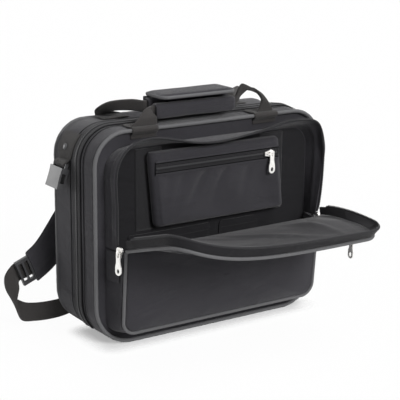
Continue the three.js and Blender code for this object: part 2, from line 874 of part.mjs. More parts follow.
function rearHandle() {
  const [left, right] = handleEnds;
  const y = rearGripFrontY + rearGripDepth / 2;
  const z = rearGripBottom + rearGripHeight / 2;
  const base = rearPivot;
  const thin = webbingThickness;
  const thick = foldedThickness;
  const lean = (base.y - y) / 4;
  const low = base.z + foldedWidth * 0.5;
  const high = base.z + foldedWidth;
  const outer = right + foldedWidth / 3;
  const flat = [webbingWidth, 0, 0];
  const folding = [webbingWidth * 0.6, 0, -foldedWidth * 0.3];
  const turned = [foldedWidth * 0.6, 0, -foldedWidth * 0.8];
  return webbing([
    station([left, base.y, base.z], flat, thin),
    station([left - foldedWidth * 0.8, base.y - lean * 0.6, low], folding, thick / 2),
    station([left - foldedWidth * 0.6, base.y - lean * 1.6, high], turned, thick),
    station([left + foldedWidth / 2, base.y - lean * 3, z], onEdge, thick),
    ...throughGrip(y, z),
    station([right - foldedWidth, base.y - lean * 2.6, z], onEdge, thick),
    station([outer, base.y - lean * 1.3, high], onEdge, thick),
    station([outer, base.y - lean * 0.6, low], folding.map((w) => -w), thick / 2),
    station([right, base.y, base.z], flat.map((w) => -w), thin),
  ]);
}

// A padded tube round the webbing, open at both ends.
function gripTube(y, z, depth, height) {
  const section = (width, tall, radius) => roundedShape(
    y + (depth - width) / 2,
    z + (height - tall) / 2,
    width,
    tall,
    radius,
  );
  const along = (shape, from, to) => {
    const body = extrude(shape, to - from, cornerSteps);
    body.rotateX(quarterTurn);
    body.rotateZ(quarterTurn);
    body.translate(from, 0, 0);
    return toSolid(body);
  };
  const outer = along(section(depth, height, depth / 3), gripLeft, gripRight);
  const slot = along(
    section(foldedThickness + 2 * seatGap, foldedWidth + 2 * seatGap, seatGap),
    gripLeft - cutOverrun,
    gripRight + cutOverrun,
  );
  return outer.subtract(slot);
}

const frontGrip = () => gripTube(frontY, frontGripBottom, frontGripDepth, frontGripHeight);

// The rear grip has a spine along its back edge that carries the wrap over both grips.
const wrapHingeY = rearGripFrontY + rearGripDepth + seatGap;
const wrapHingeZ = caseHeight + wrapRise;

function rearGrip() {
  const tube = gripTube(rearGripFrontY, rearGripBottom, rearGripDepth, rearGripHeight);
  const backOfGrip = wrapHingeY - seatGap;
  const middle = rearGripBottom + rearGripHeight / 2;
  const slotTop = middle + foldedWidth / 2 + seatGap;
  const spine = box(
    new THREE.Vector3(gripLeft, backOfGrip - rearGripDepth / 4, middle),
    new THREE.Vector3(gripRight, backOfGrip, wrapHingeZ - seatGap),
  );
  const shoulder = box(
    new THREE.Vector3(gripLeft, rearGripFrontY + rearGripDepth / 2, slotTop),
    new THREE.Vector3(gripRight, backOfGrip, rearGripBottom + rearGripHeight - seatGap),
  );
  return Manifold.union([tube, spine, shoulder]);
}

function wrapFlap() {
  const outline = roundedOutline({
    halfWidth: (gripRight - gripLeft) / 2 - wrapEndInset,
    centre: (gripRight + gripLeft) / 2,
    bottom: wrapHingeY - wrapDepth,
    top: wrapHingeY - seatGap,
    bottomRadius: wrapDepth / 4,
    topRadius: pipingRadius,
  });
  const flat = crowned(outline, [
    [1, 0],
    [1, wrapThickness * 0.5],
    [0.95, wrapThickness * 0.75],
    [0.8, wrapThickness * 0.93],
    [0.5, wrapThickness],
  ]);
  return flat.rotate([-90, 0, 0]).mirror([0, 0, 1]).translate([0, 0, wrapHingeZ]);
}

// Side tabs and buckles. Both are drawn on the right side, and the left ones are turned about the middle.

const sideX = caseWidth / 2;
const tabY = splitY + chainGap / 2 + tapeWidth + tabSetback;
const buckleAxisX = sideX + buckleThickness / 2 + 4 * seatGap;
const tabCornerX = sideX - topCornerRadius;
const tabCornerZ = caseHeight - topCornerRadius;

// Webbing that follows the top corner down the side and folds round the bar of the buckle.
function sideTab(side) {
  const lie = topCornerRadius + seatGap + tabThickness / 2;
  const onCorner = (step) => {
    const angle = (quarterTurn * step) / cornerSteps;
    return [tabCornerX + lie * Math.cos(angle), tabY, tabCornerZ + lie * Math.sin(angle)];
  };
  const wide = [0, tabPatchWidth, 0];
  const narrow = [0, tabWidth, 0];
  const loop = buckleBarRadius + seatGap + tabThickness / 2;
  const round = (angle) => [
    buckleAxisX + loop * Math.cos(angle),
    tabY,
    tabCornerZ - buckleBarDrop + loop * Math.sin(angle),
  ];
  const foldShares = [0.75, 0.25, -0.25, -0.75, -1.25, -1.75, -2.2];
  const path = [
    ...[4, 3, 2, 1].map((step) => station(onCorner(step), wide, tabThickness)),
    station(onCorner(0), narrow, tabThickness),
    ...foldShares.map((share) => station(round(quarterTurn * share), narrow, tabThickness)),
  ];
  const tab = webbing(path, 2);
  return side > 0 ? tab : tab.mirror([1, 0, 0]);
}

function tabRivet(side) {
  const profile = [
    new THREE.Vector2(0, 0),
    new THREE.Vector2(rivetRadius, 0),
    new THREE.Vector2(rivetRadius * 0.85, rivetHeight * 0.6),
    new THREE.Vector2(rivetRadius * 0.5, rivetHeight),
    new THREE.Vector2(0, rivetHeight),
  ];
  const angle = (rivetStep * quarterTurn) / cornerSteps;
  const reach = topCornerRadius + 3 * seatGap + tabThickness;
  const rivet = new THREE.LatheGeometry(profile, 10);
  rivet.rotateZ(-side * quarterTurn);
  rivet.rotateY(-side * angle);
  rivet.translate(side * (tabCornerX + reach * Math.cos(angle)), tabY, tabCornerZ + reach * Math.sin(angle));
  return toSolid(rivet);
}

// Socket half of a side release buckle, hanging from its bar: the mouth is below, the catches click into the
// windows at its sides.
function buckle() {
  const half = buckleWidth / 2;
  const shoulder = buckleBarRadius + tabThickness + 3 * seatGap;
  const arm = (buckleWidth - tabWidth) / 2 - seatGap;
  const outline = new THREE.Shape();
  outline.moveTo(-half, buckleBarRadius);
  outline.lineTo(-half, -shoulder);
  outline.quadraticCurveTo(-half * 0.86, -buckleLength / 2, -half, -buckleLength);
  outline.lineTo(half, -buckleLength);
  outline.quadraticCurveTo(half * 0.86, -buckleLength / 2, half, -shoulder);
  outline.lineTo(half, buckleBarRadius);
  outline.lineTo(half - arm, buckleBarRadius);
  outline.lineTo(half - arm, -shoulder);
  outline.lineTo(-half + arm, -shoulder);
  outline.lineTo(-half + arm, buckleBarRadius);
  const shell = extrude(outline, buckleThickness, smallCurveSteps + 1);
  shell.rotateX(quarterTurn);
  shell.rotateZ(quarterTurn);
  shell.translate(-buckleThickness / 2, 0, 0);
  const bar = new THREE.CylinderGeometry(buckleBarRadius, buckleBarRadius, buckleWidth - arm, 8);
  const inner = buckleThickness / 2 - buckleWall;
  const cavity = box(
    new THREE.Vector3(-inner, -half + 2 * buckleWall, -buckleLength - cutOverrun),
    new THREE.Vector3(inner, half - 2 * buckleWall, -shoulder - 2 * buckleWall),
  );
  const window = box(
    new THREE.Vector3(-inner * 0.8, -half - cutOverrun, -buckleLength * 0.76),
    new THREE.Vector3(inner * 0.8, half + cutOverrun, -buckleLength * 0.36),
  );
  const trimmed = toSolid(shell).subtract(box(
    new THREE.Vector3(-buckleThickness, -buckleWidth, -shoulder),
    new THREE.Vector3(-buckleBarRadius - seatGap, buckleWidth, buckleThickness),
  )).subtract(box(
    new THREE.Vector3(buckleBarRadius + seatGap, -buckleWidth, -shoulder),
    new THREE.Vector3(buckleThickness, buckleWidth, buckleThickness),
  ));
  return trimmed.add(toSolid(bar)).subtract(cavity).subtract(window);
}

// Shoulder straps. Each row holds shares of the case's half width, of the strap's stand off and of the case's
// height, and last how far the strap's width has turned from level to upright.
const strapRouteShares = [
  [0.28, 0.0, 0.89, 0.6], [0.42, 0.34, 0.82, 0.6], [0.62, 0.85, 0.66, 0.6], [0.82, 1.0, 0.47, 0.66],
  [1.0, 0.97, 0.33, 0.8], [1.12, 0.9, 0.28, 0.93],
];

const turnedWidth = (side, turn, width) => [side * Math.sqrt(1 - turn * turn) * width, 0, turn * width];

function shoulderStrap(side) {
  const lie = backFaceY + seatGap + strapThickness / 2;
  const route = strapRouteShares.map(([x, y, z, turn]) => station(
    [side * x * sideX, lie + y * strapStandoff, z * caseHeight],
    turnedWidth(side, turn, strapWidth),
    strapThickness,
  ));
  return webbing(route, 3);
}

// Slotted frame that the lower webbing is threaded through, in line with the end of the strap.
function ladderLock(side) {
  const [endX, endY, endZ, turn] = strapRouteShares.at(-1);
  const halfW = lockWidth / 2;
  const bar = lockLength / 7;
  const plate = box(
    new THREE.Vector3(-halfW, -lockThickness / 2, -lockLength),
    new THREE.Vector3(halfW, lockThickness / 2, 0),
  );
  const slotWidth = lowerWebbingWidth / 2 + 2 * seatGap;
  const slot = (top, bottom) => box(
    new THREE.Vector3(-slotWidth, -lockThickness, -lockLength + bottom),
    new THREE.Vector3(slotWidth, lockThickness, -top),
  );
  const mid = lockLength / 2;
  const frame = plate.subtract(slot(bar, mid + bar / 2)).subtract(slot(mid + bar / 2, bar));
  const slant = THREE.MathUtils.radToDeg(Math.asin(turn));
  return frame.translate([0, 0, -seatGap]).rotate([0, -side * slant, 0]).translate([
    side * endX * sideX,
    backFaceY + seatGap + strapThickness / 2 + endY * strapStandoff,
    endZ * caseHeight,
  ]);
}

// The lower webbing leaves the lock, turns over at the side and runs on edge along the floor to the case.
// Each row holds the same three shares and then the direction of the webbing's width.
const lowerRouteShares = [
  [1.16, 0.98, 0.272, [0.35, 0, 0.93]],
  [1.24, 1.02, 0.258, [0.38, 0, 0.92]],
  [1.29, 0.92, 0.215, [0.5, 0.6, 0.55]],
  [1.3, 0.8, 0.14, [0.15, 0.75, 0.6]],
  [1.24, 0.6, 0.085, [-0.1, 0.2, 1]],
  [1.15, 0.42, 0.075, [0, 0, 1]],
  [0.96, 0.2, 0.08, [0, 0, 1]],
  [0.78, 0.04, 0.11, [0, 0, 1]],
];

function lowerWebbing(side) {
  const lie = backFaceY + 2 * seatGap + 1.5 * lowerWebbingThickness;
  return webbing(lowerRouteShares.map(([x, y, z, width], i) => {
    const across = new THREE.Vector3(...width).setLength(lowerWebbingWidth);
    across.x *= side;
    const onLock = i < 2 ? lockThickness / 2 : 0;
    const place = [side * x * sideX, lie + y * strapStandoff + onLock, z * caseHeight];
    return station(place, across.toArray(), lowerWebbingThickness);
  }));
}

function strapAnchor(side) {
  const x = side * lowerRouteShares.at(-1)[0] * sideX;
  const z = lowerRouteShares.at(-1)[2] * caseHeight;
  const half = lowerWebbingWidth / 2;
  return box(
    new THREE.Vector3(x - half, backFaceY + seatGap, z - half),
    new THREE.Vector3(x + half, backFaceY + seatGap + lowerWebbingThickness, z + half),
  );
}

function backPad() {
  const outline = roundedOutline({
    halfWidth: backPadHalfWidth,
    bottom: backPadBottom,
    top: backPadTop,
    bottomRadius: pocketCornerRadius,
    topRadius: pocketCornerRadius,
  });
  const base = backFaceY + seatGap;
  return crowned(outline, [
    [1, base],
    [1, base + backPadThickness / 3],
    [0.97, base + backPadThickness * 0.7],
    [0.88, base + backPadThickness],
  ]);
}

// Flap, drawn closed and turned open on its fold

const foldY = pipeY - pocketPipingRadius - seatGap;

// Shares of the flap's width, from its left side, and of its height, from its fold.
const flapAlong = (x) => THREE.MathUtils.clamp((x + pocketFrontHalfWidth) / (2 * pocketFrontHalfWidth), 0, 1);
const flapRise = (z) => THREE.MathUtils.clamp((z - foldHeight) / (flapTop - foldHeight), 0, 1);

// How far the soft flap hangs out of flat: nothing at its fold and its left side, where the zip still holds it,
// and more and more towards its free edge.
const flapSagAt = (x, z) => (
  flapDroop * (1 - (1 - flapAlong(x)) ** flapDroopSpread) * flapRise(z) ** flapDroopCurl
);

const sagged = (point) => new THREE.Vector3(point.x, point.y - flapSagAt(point.x, point.z), point.z);

function evenly(from, to, steps) {
  return Array.from({ length: steps + 1 }, (_, i) => from + ((to - from) * i) / steps);
}

// A sheet that follows the sag from one side to the other, between a lower and an upper edge.
function saggedSheet(bottom, topAt, fromY, toY, stations) {
  const rings = stations.map((x) => {
    const rows = evenly(bottom, topAt(x), flapRows);
    return [
      ...rows.map((z) => sagged(new THREE.Vector3(x, fromY, z))),
      ...rows.reverse().map((z) => sagged(new THREE.Vector3(x, toY, z))),
    ];
  });
  return loft(rings);
}

const flapCornerRadius = pocketTopRadius - 2 * pocketPipingRadius;
const flapFlatHalf = panelHalfWidth - flapCornerRadius;

// Places across the flap at which the sheets that lie on it follow its sag.
function flapPlaces(halfWidth) {
  const turns = evenly(quarterTurn / cornerSteps, quarterTurn, cornerSteps - 1).slice(0, -1);
  const corner = turns.map((angle) => flapFlatHalf + flapCornerRadius * Math.sin(angle));
  const flat = evenly(-flapFlatHalf, flapFlatHalf, flapStations);
  const all = [...corner.map((x) => -x).reverse(), ...flat, ...corner];
  return [-halfWidth, ...all.filter((x) => Math.abs(x) < halfWidth), halfWidth];
}

function flapPanel() {
  const top = flapTop - 2 * pocketPipingRadius - seatGap;
  const topAt = (x) => {
    const past = Math.max(Math.abs(x) - flapFlatHalf, 0);
    return top - flapCornerRadius + Math.sqrt(Math.max(flapCornerRadius ** 2 - past ** 2, 0));
  };
  return saggedSheet(
    foldHeight + seatGap, topAt, panelFaceY, panelFaceY + panelThickness, flapPlaces(panelHalfWidth),
  );
}

// The arch round the flap, with points along its straight top so that it can sag.
function flapArch(halfWidth, top, radius) {
  const arch = archPath({ halfWidth, bottom: foldHeight + seatGap, top, radius });
  const flat = halfWidth - radius;
  const middle = evenly(flat, -flat, flapStations).slice(1, -1).map((x) => new THREE.Vector2(x, top));
  const half = arch.length / 2;
  return [...arch.slice(0, half), ...middle, ...arch.slice(half)];
}

const flapPipePath = () => (
  flapArch(pipeFrame, flapTop - pocketPipingRadius, pocketTopRadius - pocketPipingRadius)
);

function flapPiping() {
  return piping(atDepth(flapPipePath(), pipeY).map(sagged), pocketPipingRadius, false);
}

// The side wall stands up round the flap, sewn on beside the piping. It flares outwards, the more the higher it
// is and the further from the side that the zip still holds, and its cloth keeps its width.
function flapRim() {
  const pipe = flapPipePath();
  const lift = foldHeight + 2 * pocketWall;
  const sewn = flapArch(pocketFrontHalfWidth, flapTop, pocketTopRadius).map((p, i) => (
    new THREE.Vector3(p.x, gussetEdgeY - flapSagAt(pipe[i].x, pipe[i].y), Math.max(p.y, lift))
  ));
  const outward = outwardNormals(sewn);
  const width = collarEdgeY - seatGap - gussetEdgeY;
  const free = sewn.map((p, i) => {
    const flare = rimFlare * flapRise(p.z) * Math.sqrt(flapAlong(p.x));
    return p.clone().addScaledVector(outward[i], flare).setY(p.y + Math.sqrt(width ** 2 - flare ** 2));
  });
  return wallBetween(sewn, free, -pocketWall, 0);
}

function outerZipTape() {
  const bottom = outerZipHeight - outerZipWidth / 2;
  const innerY = panelFaceY - outerZipStand;
  const topAt = () => bottom + outerZipWidth;
  return saggedSheet(bottom, topAt, innerY - tapeThickness, innerY, flapPlaces(outerZipHalf));
}

// The slider of the outer zip lies square on the sagged panel.
function outerSlider() {
  const sliderY = panelFaceY - outerZipStand - tapeThickness - 2 * seatGap;
  const at = (x, z) => sagged(new THREE.Vector3(x, sliderY, z));
  const place = at(outerSliderPlace, outerZipHeight);
  const length = at(outerSliderPlace + sliderLength / 2, outerZipHeight).sub(place).normalize();
  const rise = at(outerSliderPlace, outerZipHeight - sliderWidth / 2).sub(place);
  const outward = rise.cross(length).normalize();
  const width = length.clone().cross(outward);
  return zipSlider('outer', place, width, length, -quarterTurn);
}

// Assembly

const finishes = {
  nylon: { color: 0x2b2c30, roughness: 0.85, metalness: 0 },
  edging: { color: 0x6c6c6e, roughness: 0.7, metalness: 0 },
  tape: { color: 0x232228, roughness: 0.8, metalness: 0 },
  belt: { color: 0x292624, roughness: 0.9, metalness: 0 },
  plush: { color: 0x1f2430, roughness: 1, metalness: 0 },
  plastic: { color: 0x1a1a1c, roughness: 0.35, metalness: 0 },
  nickel: { color: 0xc9c9c6, roughness: 0.25, metalness: 1 },
};

function part(name, solid, finish) {
  const mesh = new THREE.Mesh(toGeometry(solid), new THREE.MeshStandardMaterial(finishes[finish]));
  mesh.name = name;
  return mesh;
}

// A slider and its pull, laid on a surface. The matrix takes the slider's width, its length and its outward
// side to the case, and the pull is turned on its crossbar by an angle from lying along the chain.
function zipSlider(name, place, width, length, pullAngle) {
  const group = new THREE.Group();
  const outward = new THREE.Vector3().crossVectors(width, length);
  group.applyMatrix4(new THREE.Matrix4().makeBasis(width, length, outward).setPosition(place));
  const body = part(`${name}_slider`, sliderBody(), 'nickel');
  const pull = part(`${name}_pull`, pullTab(), 'nickel');
  pull.position.z = pullAxisRise;
  pull.rotation.x = pullAngle;
  group.add(body, pull);
  return group;
}

const right = new THREE.Vector3(1, 0, 0);
const up = new THREE.Vector3(0, 0, 1);

function lidGroup() {
  const group = new THREE.Group();
  const [left, rightEnd] = handleEnds;
  group.add(
    part('front_shell', frontShell(), 'nylon'),
    part('front_piping', shellPiping(frontY, frontEdgeInset), 'edging'),
    part('front_zip_tape', zipTape(-1, 0), 'tape'),
    part('front_hinge_tape', hingeTape(splitY - tapeWidth, splitY - seatGap / 2), 'tape'),
    part('lid_pad', lidPad(), 'plush'),
    part('gusset_collar', gussetCollar(), 'nylon'),
    part('pocket_gusset', pocketGusset(), 'nylon'),
    part('pocket_panel', pocketPanel(), 'nylon'),
    part('pocket_piping', pocketPiping(), 'edging'),
    part('grip_strip_left', gripStrip(-1), 'belt'),
    part('grip_strip_right', gripStrip(1), 'belt'),
    part('slip_pocket_left', slipPocket(leftSlipPocket), 'nylon'),
    part('slip_pocket_right', slipPocket(rightSlipPocket), 'nylon'),
    part('front_handle_anchor_left', frontHandleAnchor(left), 'belt'),
    part('front_handle_anchor_right', frontHandleAnchor(rightEnd), 'belt'),
    part('front_handle', frontHandle(), 'belt'),
    part('front_grip', frontGrip(), 'nylon'),
  );
  return group;
}

// The pouch's pull hangs from one leg of the bail, across the chain.
function pouchGroup() {
  const group = new THREE.Group();
  const placeY = pouchFrontY - 2 * seatGap - tapeThickness;
  const placeX = pouchCentre + pouchHalfWidth + pouchLean(pouchZipHeight) - pouchSliderInset;
  const place = new THREE.Vector3(placeX, placeY, pouchZipHeight);
  const slider = zipSlider('pouch', place, up.clone().negate(), right, 0);
  const pull = slider.getObjectByName('pouch_pull');
  const off = seatGap + pullThickness / 2;
  pull.position.set(-bailWidth / 2 - off, bailReach - bailBar / 2, sliderPlate + off);
  pull.rotation.z = quarterTurn;
  group.add(part('pouch', pouch(), 'nylon'), part('pouch_zip_tape', pouchZipTape(), 'tape'), slider);
  return group;
}

// The sliders of the flap's zip wait at the pocket's upper corners, turned a little more to the front than the
// side wall that they lie on.
function flapSliders() {
  const group = new THREE.Group();
  const wallDepth = frontFaceY - seatGap - gussetEdgeY;
  const cornerY = collarEdgeY - seatGap - sliderWidth / 2 - bailBar;
  const turn = THREE.MathUtils.degToRad(cornerSliderTurn);
  const off = seatGap + (sliderWidth / 2) * Math.sin(turn);
  const wallX = pocketHalfWidth - (pocketFlare * (frontFaceY - seatGap - cornerY)) / wallDepth;
  for (const side of [-1, 1]) {
    const facing = new THREE.Vector3(side * wallDepth, -pocketFlare, 0).normalize().applyAxisAngle(up, -side * turn);
    const width = new THREE.Vector3().crossVectors(up, facing);
    const place = new THREE.Vector3(side * (wallX + off), cornerY, foldHeight);
    group.add(zipSlider(side < 0 ? 'flap_left' : 'flap_right', place, width, up, 0));
  }
  return group;
}

function flapGroup() {
  const closed = new THREE.Group();
  closed.position.set(0, -foldY, -foldHeight);
  closed.add(
    part('flap_panel', flapPanel(), 'nylon'),
    part('flap_rim', flapRim(), 'tape'),
    part('flap_piping', flapPiping(), 'edging'),
    part('outer_zip_tape', outerZipTape(), 'tape'),
    outerSlider(),
  );
  const fold = new THREE.Group();
  fold.position.set(0, foldY, foldHeight);
  fold.rotation.x = THREE.MathUtils.degToRad(flapOpenAngle);
  fold.add(closed);
  return fold;
}

function mainSliders() {
  const group = new THREE.Group();
  const lift = (seatGap + tapeThickness) / 2 + toothHeight + seatGap;
  const backwards = new THREE.Vector3(0, 1, 0);
  mainSliderHeights.forEach((z, i) => {
    const place = new THREE.Vector3(sideX + lift, splitY, z);
    group.add(zipSlider(`main_${i === 0 ? 'lower' : 'upper'}`, place, backwards, up, 0));
  });
  return group;
}

function rearGroup() {
  const group = new THREE.Group();
  const [left, rightEnd] = handleEnds;
  group.add(
    part('rear_shell', rearShell(), 'nylon'),
    part('rear_piping', shellPiping(backY, backEdgeInset), 'edging'),
    part('rear_zip_tape', zipTape(1, 2), 'tape'),
    part('rear_hinge_tape', hingeTape(splitY + seatGap / 2, splitY + trayRecess - seatGap), 'tape'),
    part('instrument_tray', instrumentTray(), 'plush'),
    part('back_pad', backPad(), 'nylon'),
    part('rear_handle_anchor_left', rearHandleAnchor(left), 'belt'),
    part('rear_handle_anchor_right', rearHandleAnchor(rightEnd), 'belt'),
    part('rear_handle', rearHandle(), 'belt'),
    part('rear_grip', rearGrip(), 'nylon'),
    part('handle_wrap', wrapFlap(), 'nylon'),
  );
  for (const side of [-1, 1]) {
    const hand = side < 0 ? 'left' : 'right';
    const hanger = new THREE.Group();
    hanger.position.set(side * buckleAxisX, tabY, tabCornerZ - buckleBarDrop);
    hanger.rotation.y = THREE.MathUtils.degToRad(-side * buckleTilt);
    hanger.add(part(`buckle_${hand}`, buckle(), 'plastic'));
    group.add(
      hanger,
      part(`side_tab_${hand}`, sideTab(side), 'belt'),
      part(`tab_rivet_${hand}`, tabRivet(side), 'nickel'),
      part(`shoulder_strap_${hand}`, shoulderStrap(side), 'nylon'),
      part(`ladder_lock_${hand}`, ladderLock(side), 'plastic'),
      part(`strap_webbing_${hand}`, lowerWebbing(side), 'belt'),
      part(`strap_anchor_${hand}`, strapAnchor(side), 'belt'),
    );
  }
  return group;
}

const clarinetCase = new THREE.Group();
clarinetCase.add(lidGroup(), pouchGroup(), flapSliders(), flapGroup(), mainSliders(), rearGroup());

export default clarinetCase;
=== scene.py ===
"""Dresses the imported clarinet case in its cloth, webbing, zips and padding, in metres and in the case's own frame."""

import math

import bpy
import numpy as np
from mathutils import Matrix, Vector


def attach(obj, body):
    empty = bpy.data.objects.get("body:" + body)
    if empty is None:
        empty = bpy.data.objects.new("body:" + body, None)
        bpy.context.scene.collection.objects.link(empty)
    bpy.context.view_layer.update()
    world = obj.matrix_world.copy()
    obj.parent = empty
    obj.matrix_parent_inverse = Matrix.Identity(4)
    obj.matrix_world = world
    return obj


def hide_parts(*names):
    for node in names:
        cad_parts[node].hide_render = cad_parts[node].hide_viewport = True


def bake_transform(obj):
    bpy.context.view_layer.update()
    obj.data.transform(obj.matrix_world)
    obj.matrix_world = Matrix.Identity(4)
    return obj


bl_info = {
    "name": "Clarinet case looks",
    "version": (1, 0, 0),
    "blender": (4, 5, 0),
    "location": "View3D > Sidebar > Clarinet Case",
    "description": "Makes the cloth, webbing, zips and padding of a soft clarinet case",
    "category": "Object",
}

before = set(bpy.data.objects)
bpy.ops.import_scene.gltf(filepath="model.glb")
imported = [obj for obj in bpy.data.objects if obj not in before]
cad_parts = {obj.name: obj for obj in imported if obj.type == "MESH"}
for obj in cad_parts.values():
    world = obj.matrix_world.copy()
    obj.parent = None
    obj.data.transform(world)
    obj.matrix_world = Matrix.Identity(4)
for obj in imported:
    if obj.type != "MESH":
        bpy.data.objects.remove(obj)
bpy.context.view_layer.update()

MM = 0.001
QUARTER = math.pi / 2
FORWARD, UPWARD = np.array([0.0, -1, 0]), np.array([0.0, 0, 1])
HANDS = ((-1, "left"), (1, "right"))

# The case's own sizes in millimetres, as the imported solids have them
CASE_WIDTH, CASE_HEIGHT = 355, 281.5
TOP_RADIUS, BOTTOM_RADIUS = 45, 55
FRONT_INSET, BACK_INSET, BEVEL = 1, 1.5, 1.5
SHELL_WALL, SEAT = 7, 0.3
PIPE_RADIUS, POCKET_PIPE_RADIUS = 2.6, 2.2
PIPE_SINK = PIPE_RADIUS * 0.6
FRONT_Y, BACK_Y, SPLIT_Y = -52, 52, -10.2
FRONT_FACE_Y, BACK_FACE_Y = -49.1, 49.1
TAPE_WIDTH, TAPE_THICK, CHAIN_GAP = 7.6, 1.2, 3.2
POCKET_HALF, POCKET_FRONT_HALF = 160, 154.2
POCKET_TOP, POCKET_BOTTOM, POCKET_FRONT_BOTTOM = 258.5, 18, 21
POCKET_RADIUS, POCKET_TOP_RADIUS, POCKET_WALL = 20, 28, 2.4
POCKET_BACK_Y = FRONT_FACE_Y - SEAT
PANEL_FACE_Y, PANEL_THICK, PANEL_CROWN, PANEL_LEAN = -89.1, 2.8, 3, 9
COLLAR_Y, FOLD_Y, FOLD_Z = -74.1, -90.2, 134
PIPE_LINE_Y = PANEL_FACE_Y + PANEL_THICK / 2
GUSSET_EDGE_Y = PIPE_LINE_Y + POCKET_PIPE_RADIUS + SEAT
PIPE_HALF = POCKET_FRONT_HALF - POCKET_PIPE_RADIUS
PANEL_HALF = PIPE_HALF - POCKET_PIPE_RADIUS - SEAT
FLAP_TOP, FLAP_OPEN, FLAP_DROOP = 259, math.radians(72), 37
FLAP_SPREAD, FLAP_CURL, RIM_FLARE = 5, 1.6, 9
OUTER_ZIP_STAND = 0.8
POUCH_FRONT_Y = -66.7
WEBBING_WIDTH, WEBBING_THICK = 38, 1.6
FOLDED_WIDTH, FOLDED_THICK = 15, 4.6
HANDLE_CENTRE, HANDLE_SPAN = -9.5, 188
HANDLE_LEFT, HANDLE_RIGHT = HANDLE_CENTRE - HANDLE_SPAN / 2, HANDLE_CENTRE + HANDLE_SPAN / 2
GRIP_LEFT, GRIP_RIGHT, GRIP_DEPTH = -84, 37, 17
FRONT_GRIP_TALL, REAR_GRIP_TALL = 20, 22
SIDE_X = CASE_WIDTH / 2
TAB_Y = SPLIT_Y + CHAIN_GAP / 2 + TAPE_WIDTH + 20
REAR_HANDLE_Y = BACK_FACE_Y - 9
PIPE_TOP = CASE_HEIGHT - FRONT_INSET - PIPE_SINK
FRONT_ANCHOR_TOP = PIPE_TOP + PIPE_RADIUS + SEAT + WEBBING_THICK
REAR_ANCHOR_TOP = CASE_HEIGHT - BACK_INSET * 0.4 + SEAT + WEBBING_THICK
PIVOT_GAP = WEBBING_THICK / 2 + SEAT / 3
FRONT_GRIP_Z, REAR_GRIP_Z = CASE_HEIGHT + 7, CASE_HEIGHT + 10
REAR_GRIP_Y = FRONT_Y + GRIP_DEPTH + 4 * SEAT
WRAP_Y, WRAP_Z, WRAP_DEPTH = REAR_GRIP_Y + GRIP_DEPTH + SEAT, CASE_HEIGHT + 33, 42
ON_EDGE = (0, 0, -FOLDED_WIDTH)


# Working out shapes


def unit(v):
    return v / np.maximum(np.linalg.norm(v, axis=-1, keepdims=True), 1e-9)


def around(count):
    """Angles evenly spaced round a circle."""
    return np.linspace(0, 2 * math.pi, count, endpoint=False)


def squared(c, power):
    """sign(c) |c|^power, which squares up the sine or cosine of a circle."""
    return np.sign(c) * np.abs(c) ** power


def xyz(x, y, z):
    """Places from their three coordinates, which may be arrays or numbers."""
    return np.stack(np.broadcast_arrays(x, y, z), axis=-1)


def catmull(points, count):
    """Smooth line through points, count places evenly spaced in its parameter.

    Each stretch is the centripetal Catmull-Rom cubic of four points in turn, with the ends carried straight on.
    """
    p = np.asarray(points, float)
    p = np.vstack([2 * p[0] - p[1], p, 2 * p[-1] - p[-2]])
    t = np.linspace(0, len(p) - 3, count)
    i = np.minimum(t.astype(int), len(p) - 4)
    w = (t - i)[:, None]
    x0, x1, x2, x3 = p[i], p[i + 1], p[i + 2], p[i + 3]
    low, mid, high = (np.linalg.norm(b - a, axis=1)[:, None] ** 0.5 for a, b in ((x0, x1), (x1, x2), (x2, x3)))
    mid = np.where(mid < 1e-2, 1.0, mid)
    low, high = np.where(low < 1e-2, mid, low), np.where(high < 1e-2, mid, high)
    m1 = ((x1 - x0) / low - (x2 - x0) / (low + mid) + (x2 - x1) / mid) * mid
    m2 = ((x2 - x1) / mid - (x3 - x1) / (mid + high) + (x3 - x2) / high) * mid
    return x1 + m1 * w + (3 * (x2 - x1) - 2 * m1 - m2) * w**2 + (2 * (x1 - x2) + m1 + m2) * w**3


def run_of(points):
    """The distance along a line at each of its points."""
    return np.concatenate([[0], np.cumsum(np.linalg.norm(np.diff(points, axis=0), axis=1))])


def sampled(values, run, at):
    """Values given at distances along a line, read off at other distances."""
    return np.stack([np.interp(at, run, values[:, k]) for k in range(values.shape[1])], axis=1)


def along(points, count, closed=False):
    """Places at equal distances along a polyline: count of them, with the last on the end of an open line."""
    p = np.asarray(points, float)
    if closed:
        p = np.vstack([p, p[:1]])
    run = run_of(p)
    return sampled(p, run, np.linspace(0, run[-1], count, endpoint=not closed))


def heading(points, closed=False):
    """Unit directions along a line, from the places before and after each one."""
    d = np.roll(points, -1, axis=0) - np.roll(points, 1, axis=0) if closed else np.gradient(points, axis=0)
    return unit(d)


def sideways(points, closed=False):
    """Unit normals, in the plane of the case's face, of a line that runs anticlockwise seen from the front."""
    d = heading(points, closed)
    return unit(xyz(d[:, 2], 0.0, -d[:, 0]))


def bend(x, z, radius, start):
    """A quarter circle from the start angle, turning anticlockwise."""
    a = start + np.linspace(0, QUARTER, 15)
    return np.stack([x + radius * np.cos(a), z + radius * np.sin(a)], axis=1)


def rounded(half, bottom, top, low_radius, high_radius, count, centre=0):
    """Places round a rectangle with rounded corners, anticlockwise from its lower right corner."""
    low, high = half - low_radius, half - high_radius
    return along(np.vstack([
        bend(centre + low, bottom + low_radius, low_radius, -QUARTER),
        bend(centre + high, top - high_radius, high_radius, 0),
        bend(centre - high, top - high_radius, high_radius, QUARTER),
        bend(centre - low, bottom + low_radius, low_radius, 2 * QUARTER),
    ]), count, True)


def arch(half, top, radius, count):
    """From the fold up one side, over the top and down the other, evenly stepped."""
    bottom = FOLD_Z + SEAT
    return along(np.vstack([[[half, bottom]], bend(half - radius, top - radius, radius, 0),
                            bend(-half + radius, top - radius, radius, QUARTER), [[-half, bottom]]]), count)


